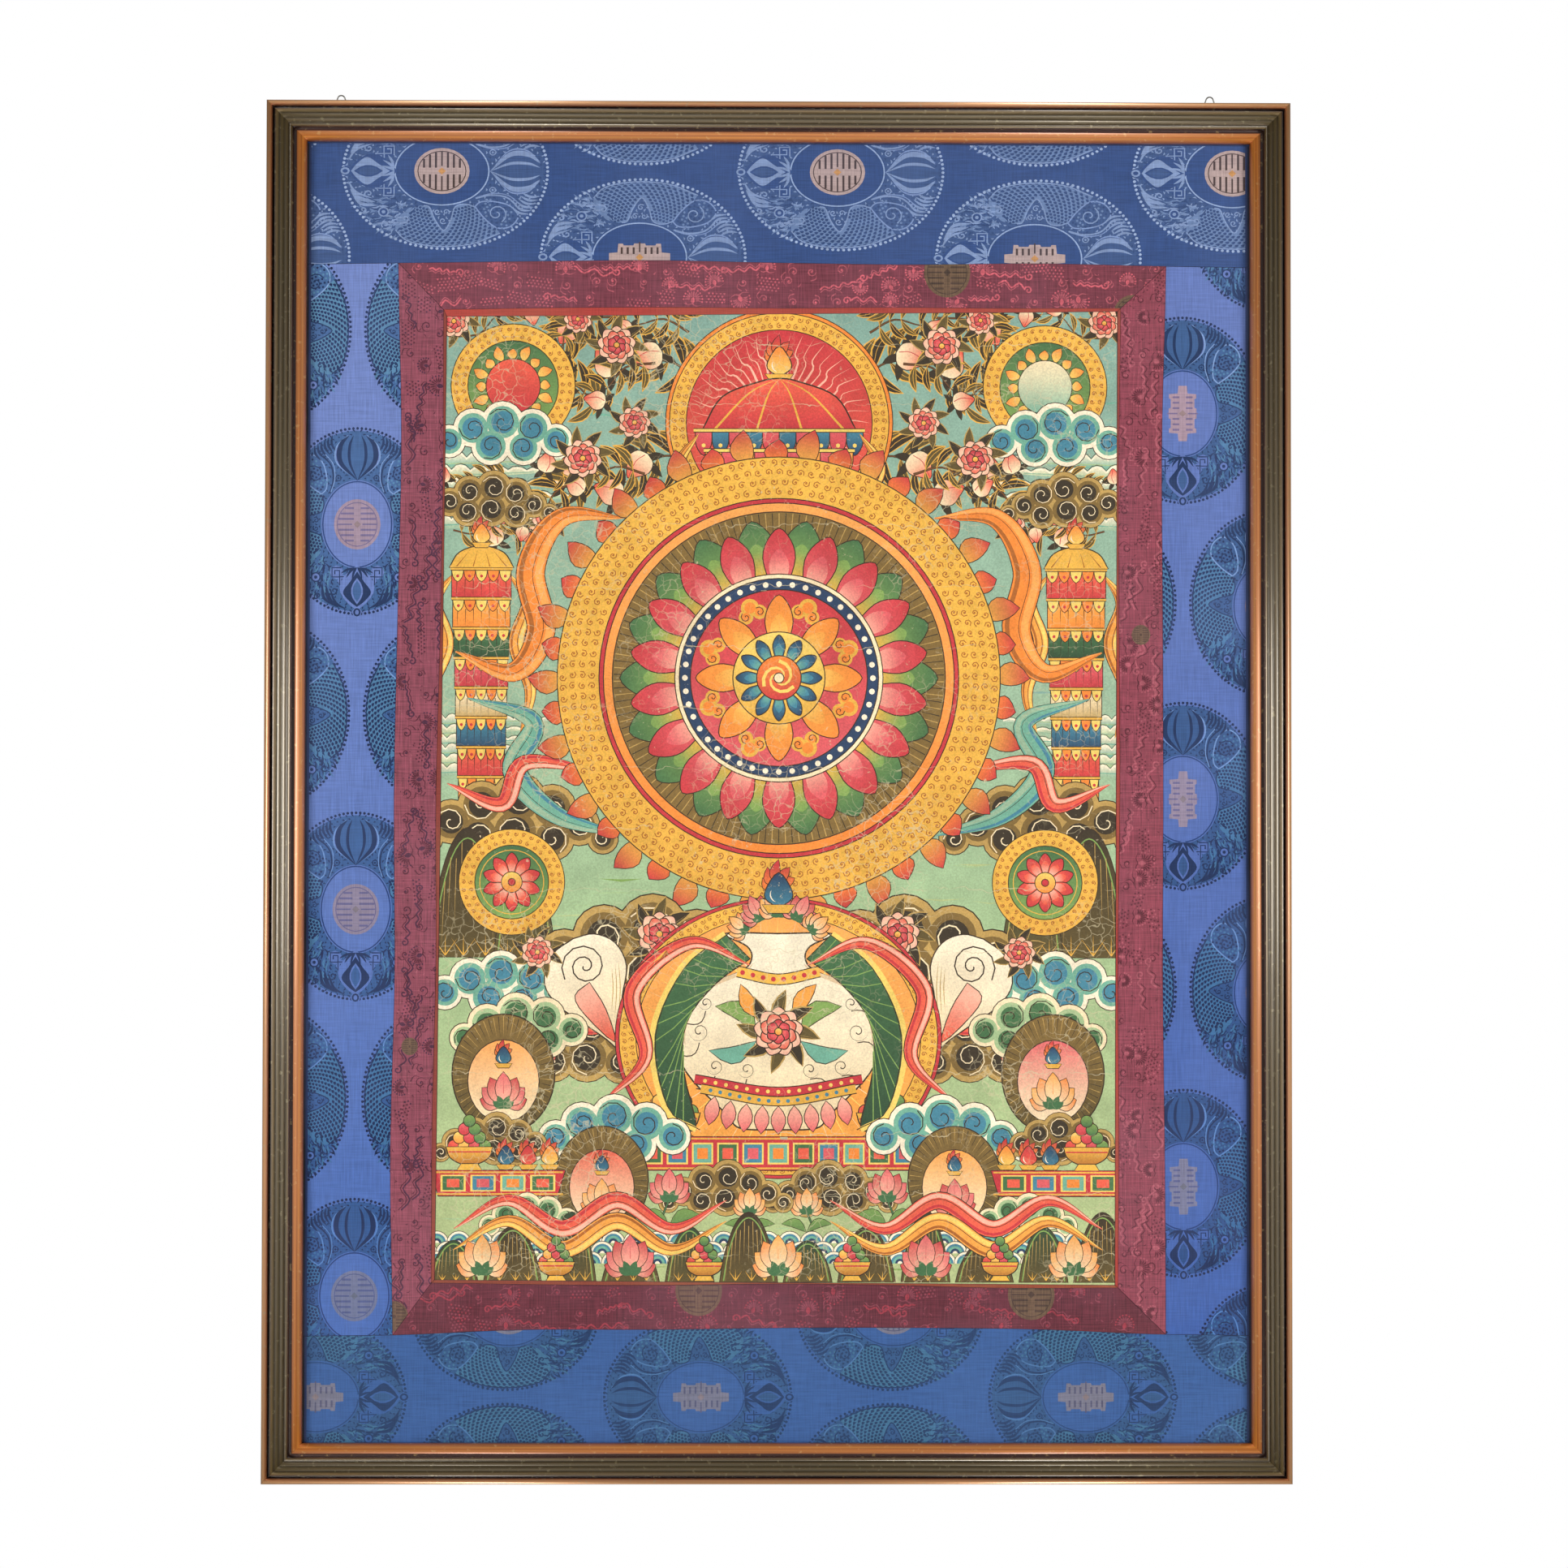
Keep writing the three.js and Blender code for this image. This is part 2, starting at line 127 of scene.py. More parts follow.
world = bpy.data.worlds.new("white_room")
world.use_nodes = True
bpy.context.scene.world = world
room = world.node_tree
room.nodes.clear()
seen = node(room, "Background", {"Color": (1, 1, 1, 1), "Strength": 1.0})
lighting = node(room, "Background", {"Color": (1, 1, 1, 1), "Strength": 0.3})
rays = node(room, "LightPath")
shown = node(room, "MixShader", {0: rays.outputs["Is Camera Ray"], 1: lighting, 2: seen})
node(room, "OutputWorld", {"Surface": shown})

bpy.ops.object.select_all(action="DESELECT")
bpy.ops.mesh.primitive_plane_add(size=4.6, location=(0, 0, -1.5))
floor = bpy.context.object
floor.name = "studio_floor"
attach(floor, "root")


# %% [markdown]
# ## Colours and a first material
#
# Colours are written as sRGB hex values, as they are read off a colour chart, and one function turns them to
# the linear values that Blender works in.

# %% Colours
def linear(hex_colour):
    """The linear RGBA of an sRGB hex colour."""
    parts = [int(hex_colour[i:i + 2], 16) / 255 for i in (1, 3, 5)]
    return tuple(((c + 0.055) / 1.055) ** 2.4 if c > 0.04045 else c / 12.92 for c in parts) + (1,)


def new_material(name, **uniform):
    """A material with its shader. uniform are values of the shader's own sockets, with _ for a space."""
    material = bpy.data.materials.new(name)
    material.use_nodes = True
    shader = material.node_tree.nodes["Principled BSDF"]
    for socket, value in uniform.items():
        shader.inputs[socket.replace("_", " ")].default_value = value
    return material, material.node_tree, shader


def ramp(tree, factor, stops):
    """A colour ramp through stops of (position, hex colour)."""
    made = node(tree, "ValToRGB", {"Fac": factor})
    elements = made.color_ramp.elements
    while len(elements) < len(stops):
        elements.new(0.5)
    for element, (position, colour) in zip(elements, stops):
        element.position = position
        element.color = linear(colour)
    return made.outputs["Color"]


material, tree, shader = new_material("painted_plaster_floor", Roughness=0.9)
shader.inputs["Base Color"].default_value = linear("#f4f3f0")
floor.data.materials.append(material)


# %% [markdown]
# ## The moulding
#
# The frame is a machined pine moulding, stained red-brown and lacquered. A copper-brown bead runs round its
# outside, a groove painted dark with its shadow sets off an olive cove with four reeds, and a gilt fillet
# lies inside it. Each rail is the imported solid's own shape, merged, with its arrises eased by a small
# bevel.
# Every vertex keeps how far along the rail and how far in from the frame's edge it lies, so that stain,
# rubbed edges and grain follow the rail and turn the corner at the mitre.

# %% Ease the rails
BEVEL = 0.25 * MM
SHARP = math.radians(12)


def edit_whole(piece):
    """Opens one piece alone in edit mode, with all of it selected."""
    bpy.ops.object.select_all(action="DESELECT")
    bpy.context.view_layer.objects.active = piece
    piece.select_set(True)
    bpy.ops.object.mode_set(mode="EDIT")
    bpy.ops.mesh.select_all(action="SELECT")


def copy_node(name, new_name):
    """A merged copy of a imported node's mesh, as a new object."""
    piece = add_object(new_name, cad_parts[name].data.copy())
    piece.data.materials.clear()
    edit_whole(piece)
    bpy.ops.mesh.remove_doubles(threshold=1e-5)
    bpy.ops.mesh.dissolve_limited(angle_limit=math.radians(0.5))
    bpy.ops.object.mode_set(mode="OBJECT")
    return piece


def close_mitres(piece, side):
    """Slides a rail's end faces out to the mitre line, so that no light passes there. Returns which end each
    corner is at."""
    level = side in ("top", "bottom")
    half, middle = (FRAME_SIZE[0] / 2, 0) if level else (FRAME_SIZE[1] / 2, FRAME_TOP - FRAME_SIZE[1] / 2)
    outer = {"top": FRAME_TOP, "bottom": FRAME_TOP - FRAME_SIZE[1], "left": -FRAME_SIZE[0] / 2,
        "right": FRAME_SIZE[0] / 2}[side]
    ends = {}
    for vertex in piece.data.vertices:
        inset = abs(vertex.co[2 if level else 0] - outer)
        run = vertex.co[0 if level else 2] - middle
        end = half - inset - 0.02 * MM
        if abs(abs(run) - end) < 0.5 * MM:
            vertex.co[0 if level else 2] = middle + math.copysign(end, run)
            ends[vertex.index] = run > 0
    return ends


def ease_arrises(piece, width=BEVEL, segments=2, ends={}):
    """Bevels the edges where faces meet at more than a slight angle, but not those of the mitred ends."""
    bpy.ops.object.mode_set(mode="EDIT")
    bpy.ops.mesh.select_mode(type="EDGE")
    bpy.ops.mesh.select_all(action="DESELECT")
    bpy.ops.mesh.edges_select_sharp(sharpness=SHARP)
    sheet = bmesh.from_edit_mesh(piece.data)
    for edge in sheet.edges:
        one, other = (ends.get(corner.index) for corner in edge.verts)
        if edge.select and one is not None and one == other:
            edge.select = False
    bmesh.update_edit_mesh(piece.data)
    bpy.ops.mesh.bevel(offset=width, segments=segments, affect="EDGES", clamp_overlap=True)
    bpy.ops.mesh.select_all(action="SELECT")
    bpy.ops.mesh.quads_convert_to_tris()
    bpy.ops.object.mode_set(mode="OBJECT")
    bpy.ops.object.shade_smooth_by_angle(angle=math.radians(42))


def keep_rail_places(piece, side):
    """Stores (along, inset, forward) in metres on each vertex, from the rail's own side of the frame."""
    places = np.empty(len(piece.data.vertices) * 3, np.float32)
    piece.data.vertices.foreach_get("co", places)
    x, y, z = places.reshape(-1, 3).T
    along, inset = {"top": (x, FRAME_TOP - z), "bottom": (x + 1.7, z - FRAME_TOP + FRAME_SIZE[1]),
        "left": (z + 3.1, x + FRAME_SIZE[0] / 2), "right": (z + 5.3, FRAME_SIZE[0] / 2 - x),}[side]
    kept = piece.data.attributes.new("rail_place", "FLOAT_VECTOR", "POINT")
    kept.data.foreach_set("vector", np.stack([along, inset, -y], 1).ravel())


# %% [markdown]
# ### Stained and lacquered pine
#
# Bronze powder in the stain under a thick clear lacquer makes a rail that turns dark or bright with the
# lamps. The bands of colour come from the inset. They are lighter on each reed's crest and darker in its
# hollows, and near-black in the two grooves, which is painted shadow. A noise drawn out along the rail gives
# the streaks, and a finer one the rubs. The lacquer was put on from the front and stops short of the rail's
# back, which shows bare pine.

# %% Moulding material
BARE_PINE = "#b99566"
LACQUER_EDGE = (1.2 * MM, 1.8 * MM)          # from the rail's back


def rail_material(name, bands, band_width, crest, roughness, bronze, gloss):
    """Lacquered wood whose colour follows the inset through bands, over band_width metres. The lacquer stops
    short of the back, which is bare pine."""
    material, tree, shader = new_material(name, Roughness=roughness, Coat_Roughness=0.26, Coat_IOR=1.9)
    place = node(tree, "Attribute", attribute_name="rail_place").outputs["Vector"]
    parts = node(tree, "SeparateXYZ", {0: place})
    inset = node(tree, "Math", {0: parts.outputs["Y"], 1: band_width}, operation="DIVIDE")
    colour = ramp(tree, inset, bands)
    drawn_out = node(tree, "Mapping", {"Vector": place, "Scale": (9, 900, 500)})
    streaks = node(tree, "TexNoise", {"Vector": drawn_out, "Scale": 1.0, "Detail": 4.0, "Roughness": 0.6})
    streaked = node(tree, "MapRange", {0: streaks, 1: 0.3, 2: 0.7, 3: 0.78, 4: 1.18})
    shaded = node(tree, "VectorMath", {0: colour, "Scale": streaked}, operation="SCALE")
    blotches = node(tree, "TexNoise", {"Vector": place, "Scale": 260.0, "Detail": 3.0})
    rubbed = node(tree, "MapRange", {0: blotches, 1: 0.62, 2: 0.72, 3: 0.0, 4: 0.45})
    worn = node(tree, "Mix", {0: rubbed, 6: shaded, 7: linear(crest)}, data_type="RGBA")
    pine = node(tree, "VectorMath", {0: linear(BARE_PINE)[:3], "Scale": streaked}, operation="SCALE")
    lacquer = node(tree, "MapRange", {0: parts.outputs["Z"], 1: LACQUER_EDGE[0], 2: LACQUER_EDGE[1]})
    finish = node(tree, "Mix", {0: lacquer, 6: pine, 7: worn.outputs[2]}, data_type="RGBA")
    metal = node(tree, "Math", {0: lacquer, 1: bronze}, operation="MULTIPLY")
    coat = node(tree, "Math", {0: lacquer, 1: gloss}, operation="MULTIPLY")
    relief = node(tree, "Bump", {"Height": streaks, "Strength": 0.12, "Distance": 0.0003})
    wire(tree, shader, {"Base Color": finish.outputs[2], "Metallic": metal, "Coat Weight": coat,
        "Normal": relief})
    return material


SIDES = ("top", "right", "bottom", "left")
# Painted shadow: the bead darkens into the outer groove, and the groove (0.24 to 0.295) and the quirk by the
# fillet (0.945 to 1.0) are near-black.
moulding_finish = rail_material("bronzed_lacquered_pine_moulding", [(0.0, "#c08a50"), (0.1, "#cc8e52"),
    (0.18, "#bd7844"), (0.215, "#8a4a28"), (0.24, "#2c140b"), (0.295, "#26120a"), (0.33, "#66502f"),
    (0.384, "#927a4a"), (0.43, "#776338"), (0.47, "#4a3b1c"), (0.557, "#75633a"), (0.644, "#524322"),
    (0.731, "#6e5b34"), (0.817, "#4a3a1a"), (0.88, "#66522a"), (0.905, "#84693a"), (0.945, "#2c160a"),
    (1.0, "#34170a")], 0.0212, "#a99a70", 0.34, 0.6, gloss=1.0)
fillet_finish = rail_material("gilt_lacquered_fillet", [(0.0, "#4e220f"), (0.73, "#4e220f"),
    (0.75, "#b0642a"), (0.81, "#d68438"), (0.85, "#c06d2a"), (0.89, "#da8e3c"), (0.93, "#c97832"),
    (0.975, "#ab5f24"), (1.0, "#5e2c12")], 0.0312, "#e6b870", 0.34, 0.35, gloss=0.65)


# %% Dress the rails
rail_count = 0
for side in SIDES:
    for kind, finish, slot in (("frame", moulding_finish, "moulding"),
            ("fillet", fillet_finish, "gilt_fillet")):
        rail = copy_node(f"{kind}_{side}", f"lacquered_{kind}_{side}")
        ease_arrises(rail, ends=close_mitres(rail, side))
        keep_rail_places(rail, side)
        rail.data.materials.append(finish)
        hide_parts(f"{kind}_{side}")
        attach(rail, "root")
        rail_count += len(rail.data.polygons)
print("rails, triangles:", rail_count)


# %% [markdown]
# ## Rings, straps and screws
#
# The hanging rings are bent from nickel-plated steel wire and the straps are stamped from sheet. Plating is
# a metal with a little roughness that varies where fingers and walls have dulled it.

# %% Hangers
def steel_material():
    material, tree, shader = new_material("nickel_plated_steel_wire", Metallic=1.0)
    place = node(tree, "TexCoord").outputs["Object"]
    dulling = node(tree, "TexNoise", {"Vector": place, "Scale": 420.0, "Detail": 4.0})
    colour = ramp(tree, dulling, [(0.3, "#8f8c86"), (0.7, "#b9b6ae")])
    rough = node(tree, "MapRange", {0: dulling, 3: 0.22, 4: 0.5})
    relief = node(tree, "Bump", {"Height": dulling, "Strength": 0.2, "Distance": 0.0001})
    wire(tree, shader, {"Base Color": colour, "Roughness": rough, "Normal": relief})
    return material


steel = steel_material()
for side in ("left", "right"):
    for kind, eased in (("ring", 0), ("strap", 0.15 * MM), ("screw", 0)):
        hanger = copy_node(f"{kind}_{side}", f"plated_{kind}_{side}")
        if eased:
            ease_arrises(hanger, eased, 1)
        else:
            subdivision = hanger.modifiers.new("round", "SUBSURF")
            subdivision.levels = subdivision.render_levels = 1
            bpy.ops.object.modifier_apply(modifier=subdivision.name)
            bpy.ops.object.shade_smooth_by_angle(angle=math.radians(60))
        hanger.data.materials.append(steel)
        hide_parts(f"{kind}_{side}")
        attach(hanger, "root")
print("hangers dressed")


# %% [markdown]
# ## Drawing on cloth
#
# A figured cloth could be a flat sheet with an image on it. Here each figure is a shape of the mesh, so its
# edges stay crisp at any distance. A drawing is a list of flat shapes in millimetres, each laid over the
# ones before it like paint. The helpers below draw the few forms that everything else is made of: filled
# shapes, tapered lines, arcs, spirals and smooth curves.

# %% Drawing helpers
class Drawing:
    """Flat shapes in millimetres, each laid over the ones before it."""

    def __init__(self):
        self.shapes = []          # (points, dye, second dye, the line from one dye to the other)

    def fill(self, points, dye, to=None, axis=None):
        """A filled outline. With a second dye it shades from the axis's start to its end."""
        points = np.asarray(points, float)
        line = np.zeros((2, 2)) if axis is None else np.asarray(axis, float)
        self.shapes.append((points, dye, to or dye, line))

    def line(self, points, width, dye, taper="even", closed=False):
        """A line of short four-sided pieces, whose width may swell or taper along it."""
        points = np.asarray(points, float)
        if closed:
            points = np.vstack([points, points[:1]])
        ahead = np.diff(points, axis=0)
        ahead /= np.maximum(np.hypot(*ahead.T), 1e-6)[:, None]
        if closed:
            turned = np.vstack([ahead, ahead[:1]]) + np.vstack([ahead[-1:], ahead])
        else:
            turned = np.vstack([ahead, ahead[-1:]]) + np.vstack([ahead[:1], ahead])
        turned /= np.maximum(np.hypot(*turned.T), 1e-6)[:, None]
        t = np.linspace(0, 1, len(points))
        share = {"even": np.ones_like(t), "leaf": np.sin(np.pi * t) ** 0.8, "tail": (1 - t) ** 0.7,
            "head": t ** 0.7}[taper]
        side = np.stack([-turned[:, 1], turned[:, 0]], 1) * (width / 2 * np.maximum(share, 0.04))[:, None]
        left, right = points + side, points - side
        for i in range(len(points) - 1):
            self.fill([left[i], right[i], right[i + 1], left[i + 1]], dye)

    def edged_line(self, points, widths, dye, taper="even"):
        """A dyed line over a wider one of ink."""
        self.line(points, widths[0], "ink", taper)
        self.line(points, widths[1], dye, taper)

    def outlined(self, points, dye, width, to=None, axis=None):
        """A filled outline with an inked edge: the ink is a larger shape under a smaller dyed one."""
        points = np.asarray(points, float)
        ahead = np.roll(points, -1, 0) - points
        ahead /= np.maximum(np.hypot(*ahead.T), 1e-6)[:, None]
        turned = ahead + np.roll(ahead, 1, 0)
        turned /= np.maximum(np.hypot(*turned.T), 1e-6)[:, None]
        out = np.stack([turned[:, 1], -turned[:, 0]], 1) * (width / 2 if signed_area(points) > 0
            else -width / 2)
        self.fill(points + out, "ink")
        self.fill(points - out, dye, to, axis)

    def lay(self, other, at=(0, 0), turn=0, size=1, flip=False, dyes=None):
        """Copies another drawing, sized, mirrored left to right, turned in degrees and moved."""
        scale = np.array([size, size], float) if np.isscalar(size) else np.array(size, float)
        if flip:
            scale[0] = -scale[0]
        c, s = math.cos(math.radians(turn)), math.sin(math.radians(turn))
        turning = np.array([[c, s], [-s, c]])
        dyes = dyes or {}
        for points, dye, to, axis in other.shapes:
            self.shapes.append(((points * scale) @ turning + at, dyes.get(dye, dye), dyes.get(to, to),
                (axis * scale) @ turning + at))


def arc(centre, radii, start, end, steps):
    """Points of an oval's arc, in degrees clockwise from straight up."""
    radii = (radii, radii) if np.isscalar(radii) else radii
    angles = np.radians(np.linspace(start, end, steps + 1))
    return np.stack([centre[0] + radii[0] * np.sin(angles), centre[1] + radii[1] * np.cos(angles)], 1)


def oval(centre, radii, steps=24):
    return arc(centre, radii, 0, 360, steps)[:-1]


def curve(points, steps=6):
    """A smooth curve through the points, with steps pieces between each two."""
    p = np.asarray(points, float)
    p = np.vstack([2 * p[0] - p[1], p, 2 * p[-1] - p[-2]])
    t = np.linspace(0, 1, steps, endpoint=False)[:, None]
    parts = [0.5 * (2 * b + (c - a) * t + (2 * a - 5 * b + 4 * c - d) * t ** 2 + (3 * b - a - 3 * c + d)
        * t ** 3) for a, b, c, d in zip(p, p[1:], p[2:], p[3:])]
    return np.vstack(parts + [p[-2:-1]])


def spiral(centre, radius, start, turns, steps=12, inner=0.12):
    """Points that wind inward from radius, starting at an angle in degrees. Negative turns wind back."""
    t = np.linspace(0, 1, max(4, int(abs(turns) * steps)) + 1)
    angles = np.radians(start + 360 * turns * t)
    reach = radius * (1 - (1 - inner) * t)
    return np.stack([centre[0] + reach * np.sin(angles), centre[1] + reach * np.cos(angles)], 1)


def leaf(base, tip, width, bend=0.0, steps=5):
    """A pointed oval from base to tip, bent to one side by a share of its length."""
    base, tip = np.asarray(base, float), np.asarray(tip, float)
    run = tip - base
    side = np.array([-run[1], run[0]]) / max(np.hypot(*run), 1e-6)
    t = np.linspace(0, 1, steps + 1)[:, None]
    spine = base + run * t + side * bend * np.hypot(*run) * np.sin(np.pi * t)
    half = side * (width / 2) * np.sin(np.pi * t) ** 0.85
    return np.vstack([spine + half, (spine - half)[-2:0:-1]])


# %% [markdown]
# ## Cutting a cloth
#
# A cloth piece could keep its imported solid, but that has no figures. A new sheet is cut to the same outline
# and thickness. A constrained triangulation joins the corners of every shape in the drawing, and each
# triangle takes the dye of the topmost shape that covers it. The front follows the ripple of the stretched
# cloth, the back is coarse, and a narrow rim joins the two.

# %% The cloth's surface
CLOTH_DEPTH = 8.0                 # from the frame's back to the middle of the cloth, millimetres
RIPPLE_START, RIPPLE_FULL = 33.0, 90.0
RIPPLES = ((1.1, 295, 2600, 0.2), (0.7, 1500, 446, 1.2), (0.5, 364, 364, 0.0))
HALF_WIDTH, HEIGHT, TOP = 396.0, 1066.0, -6.9


def ripple(x, z):
    """How far the cloth stands forward of flat, in millimetres."""
    down = TOP - z
    to_edge = np.minimum(np.minimum(HALF_WIDTH - np.abs(x), down), HEIGHT - down)
    t = np.clip((to_edge - RIPPLE_START) / (RIPPLE_FULL - RIPPLE_START), 0, 1)
    free = t * t * (3 - 2 * t)
    return free * sum(height * np.sin(2 * np.pi * (x / across + down / along) + shift) for height, across,
        along, shift in RIPPLES)


def front_outline(name):
    """The outline of a packed cloth's front, as points of (x, z) in millimetres."""
    sheet = bmesh.new()
    sheet.from_mesh(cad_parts[name].data)
    bmesh.ops.remove_doubles(sheet, verts=sheet.verts, dist=1e-5)
    sheet.normal_update()
    front = {face for face in sheet.faces if face.normal.y < -0.7}
    after = {}
    for face in front:
        for loop in face.loops:
            if not any(other in front for other in loop.edge.link_faces if other != face):
                after[loop.vert] = loop.link_loop_next.vert
    first = here = next(iter(after))
    points = []
    while True:
        points.append((here.co.x / MM, here.co.z / MM))
        here = after[here]
        if here == first:
            break
    sheet.free()
    return np.array(points)


def signed_area(points):
    x, z = points.T
    return 0.5 * float(np.sum(x * np.roll(z, -1) - np.roll(x, -1) * z))


def inside(points, outline):
    """Which points lie inside an outline, by counting its turns about each point."""
    x, z = points[:, 0, None], points[:, 1, None]
    (ax, az), (bx, bz) = outline.T, np.roll(outline, -1, 0).T
    crosses = (az > z) != (bz > z)
    with np.errstate(divide="ignore", invalid="ignore"):
        meets = ax + (z - az) * (bx - ax) / (bz - az)
    return (np.where(bz > az, 1, -1) * (crosses & (x < meets))).sum(1) != 0


def top_shapes(places, faces, over, outlines):
    """The topmost shape on each face. Each claim is tested at the face's middle, as a shape with a folded
    edge can otherwise run out over its neighbours."""
    middles = places[np.array(faces)].mean(1)
    claims = [sorted(ids) for ids in over]
    tops = np.array([ids.pop() for ids in claims])
    doubtful = np.arange(len(faces))
    while len(doubtful):
        order = doubtful[np.argsort(tops[doubtful], kind="stable")]
        starts = np.flatnonzero(np.diff(tops[order], prepend=-1))
        failed = [group[~inside(middles[group], outlines[tops[group[0]]])] for group in np.split(order,
            starts[1:])]
        doubtful = np.array([i for i in np.concatenate(failed).tolist() if claims[i]], int)
        tops[doubtful] = [claims[i].pop() for i in doubtful.tolist()]
    return tops


def hidden(shapes):
    """Which shapes lie wholly under one later large shape, and so never show."""
    lows = np.array([points.min(0) for points in shapes])
    highs = np.array([points.max(0) for points in shapes])
    counts = np.array([len(points) for points in shapes])
    starts = np.concatenate([[0], np.cumsum(counts)])
    corners = np.vstack(shapes)
    covered = np.zeros(len(shapes), bool)
    for number, cover in enumerate(shapes):
        if abs(signed_area(cover)) < 60:
            continue
        near = np.flatnonzero((lows[:number] >= lows[number]).all(1)
            & (highs[:number] <= highs[number]).all(1) & ~covered[:number])
        if len(near):
            picked = np.concatenate([np.arange(starts[i], starts[i + 1]) for i in near])
            under = inside(corners[picked], cover)
            ends = np.cumsum(counts[near])
            totals = np.add.reduceat(under, np.concatenate([[0], ends[:-1]]))
            covered[near[totals == counts[near]]] = True
    return covered


def triangulate(outline, shapes, looks, spacing):
    """Triangles inside the outline: corners, faces, and the number of each face's top shape. Shapes with
    the same look count as one, so that only the edges between different looks remain."""
    numbers, corners = {}, []

    def corner(x, z):
        key = (round(x, 3), round(z, 3))
        if key not in numbers:
            numbers[key] = len(corners)
            corners.append(Vector(key))
        return numbers[key]

    low, high = outline.min(0), outline.max(0)
    loops, owners = [], []
    covered = np.concatenate([[False], hidden(shapes)]) if shapes else [False]
    for number, points in enumerate([outline, *shapes]):
        if covered[number] or (points.max(0) < low).any() or (points.min(0) > high).any():
            continue
        if signed_area(points) < 0:
            points = points[::-1]
        loop = [corner(x, z) for x, z in points.tolist()]
        loop = [a for a, b in zip(loop, loop[1:] + loop[:1]) if a != b]
        if len(set(loop)) > 2:
            loops.append(loop)
            owners.append(number)
    places, _, faces, _, _, over = delaunay_2d_cdt(corners, [], loops, 1, 1e-5, True)
    kept = [(face, ids) for face, ids in zip(faces, over) if 0 in ids and len(face) == 3]
    faces, over = [face for face, _ in kept], [ids for _, ids in kept]
    places = np.array([tuple(p) for p in places])
    outlines = [outline, *shapes]
    tops = top_shapes(places, faces, over, [outlines[owner] for owner in owners])
    first = {}
    shown = np.array([first.setdefault(looks[owners[top]], owners[top]) for top in tops.tolist()])
    lines, sides = look_borders(places, np.array(faces), shown, len(outline))
    used, lines = np.unique(np.array(lines), return_inverse=True)
    places, lines = places[used], lines.reshape(-1, 2)
    runs = places[lines[:, 1]] - places[lines[:, 0]]
    grid = [Vector((x, z)) for x in np.arange(low[0] + spacing / 2, high[0], spacing)
        for z in np.arange(low[1] + spacing / 2, high[1], spacing)]
    places, edges, faces, _, parents, _ = delaunay_2d_cdt([Vector(p) for p in places.tolist()] + grid,
        lines.tolist(), [], 0, 1e-6, True)
    return paint_faces(np.array([tuple(p) for p in places]), edges, faces, parents, runs, sides)


def look_borders(places, faces, shown, fixed_count):
    """The lines between faces that show different shapes, straightened, with the shape on each side."""
    a, b, left = faces.ravel(), np.roll(faces, -1, 1).ravel(), np.repeat(shown, 3)
    code, back = a * len(places) + b, b * len(places) + a
    order = np.argsort(code)
    spot = np.minimum(np.searchsorted(code[order], back), len(code) - 1)
    found = code[order][spot] == back
    right = np.where(found, left[order][spot], -1)
    kept = (left != right) & (~found | (a < b))
    a, b, left, right = (values[kept] for values in (a, b, left, right))
    fixed = np.bincount(np.concatenate([a, b]), minlength=len(places)) != 2
    fixed[:fixed_count] = True
    around = {}
    for number, (start, end) in enumerate(zip(a.tolist(), b.tolist())):
        around.setdefault(start, []).append(number)
        around.setdefault(end, []).append(number)
    used, lines, sides = np.zeros(len(a), bool), [], []
    for first in sorted(range(len(a)), key=lambda i: not (fixed[a[i]] or fixed[b[i]])):
        if used[first]:
            continue
        forward = fixed[a[first]] or not fixed[b[first]]
        here, number = (a[first] if forward else b[first]), first
        pair = (left[first], right[first]) if forward else (right[first], left[first])
        path = [here]
        while not used[number]:
            used[number] = True
            here = b[number] if a[number] == here else a[number]
            path.append(here)
            if fixed[here]:
                break
            number = next((i for i in around[here] if not used[i]), number)
        straight = [path[0]]
        for here, after in zip(path[1:], path[2:]):
            run, step = places[after] - places[straight[-1]], places[here] - places[straight[-1]]
            off = abs(run[0] * step[1] - run[1] * step[0]) / max(np.hypot(*run), 1e-9)
            if off > 0.001:
                straight.append(here)
        straight.append(path[-1])
        for start, end in zip(straight, straight[1:]):
            lines.append((int(start), int(end)))
            sides.append(pair)
    return lines, sides


def paint_faces(places, edges, faces, parents, runs, sides):
    """Gives each face the shape on its side of the nearest line, and drops the faces outside the cloth."""
    beside = {}
    for (u, v), given in zip(edges, parents):
        lefts, rights = [], []
        for number in given:
            same = float((places[v] - places[u]) @ runs[number]) > 0
            left, right = sides[number] if same else sides[number][::-1]
            lefts.append(int(left))
            rights.append(int(right))
        # Where lines fall together, the thin shapes between them are gone, so only the outer two count.
        lefts, rights = [x for x in lefts if x not in rights], [x for x in rights if x not in lefts]
        if lefts and rights:
            beside[u, v], beside[v, u] = lefts[0], rights[0]
    neighbours = {}
    shown, known = {}, []
    for number, face in enumerate(faces):
        for u, v in zip(face, face[1:] + face[:1]):
            neighbours[u, v] = number
            if (u, v) in beside and number not in shown:
                shown[number] = beside[u, v]
                known.append(number)
    for number in known:
        face = faces[number]
        for u, v in zip(face, face[1:] + face[:1]):
            other = neighbours.get((v, u))
            if other is not None and other not in shown and (u, v) not in beside:
                shown[other] = shown[number]
                known.append(other)
    kept = [number for number in range(len(faces)) if shown.get(number, -1) >= 0]
    tops = np.array([shown[number] for number in kept])
    used, corners = np.unique(np.array([faces[number] for number in kept]), return_inverse=True)
    return places[used], corners.reshape(-1, 3), tops


def rim_loop(faces):
    """The corners round the outside of a triangulation, in order."""
    after = {}
    edges = {(a, b) for face in faces.tolist() for a, b in zip(face, face[1:] + face[:1])}
    for a, b in edges:
        if (b, a) not in edges:
            after[a] = b
    loop = [next(iter(after))]
    while after[loop[-1]] != loop[0]:
        loop.append(after[loop[-1]])
    return np.array(loop)


# %% Cut a cloth from its drawing
cloth_triangles = 0


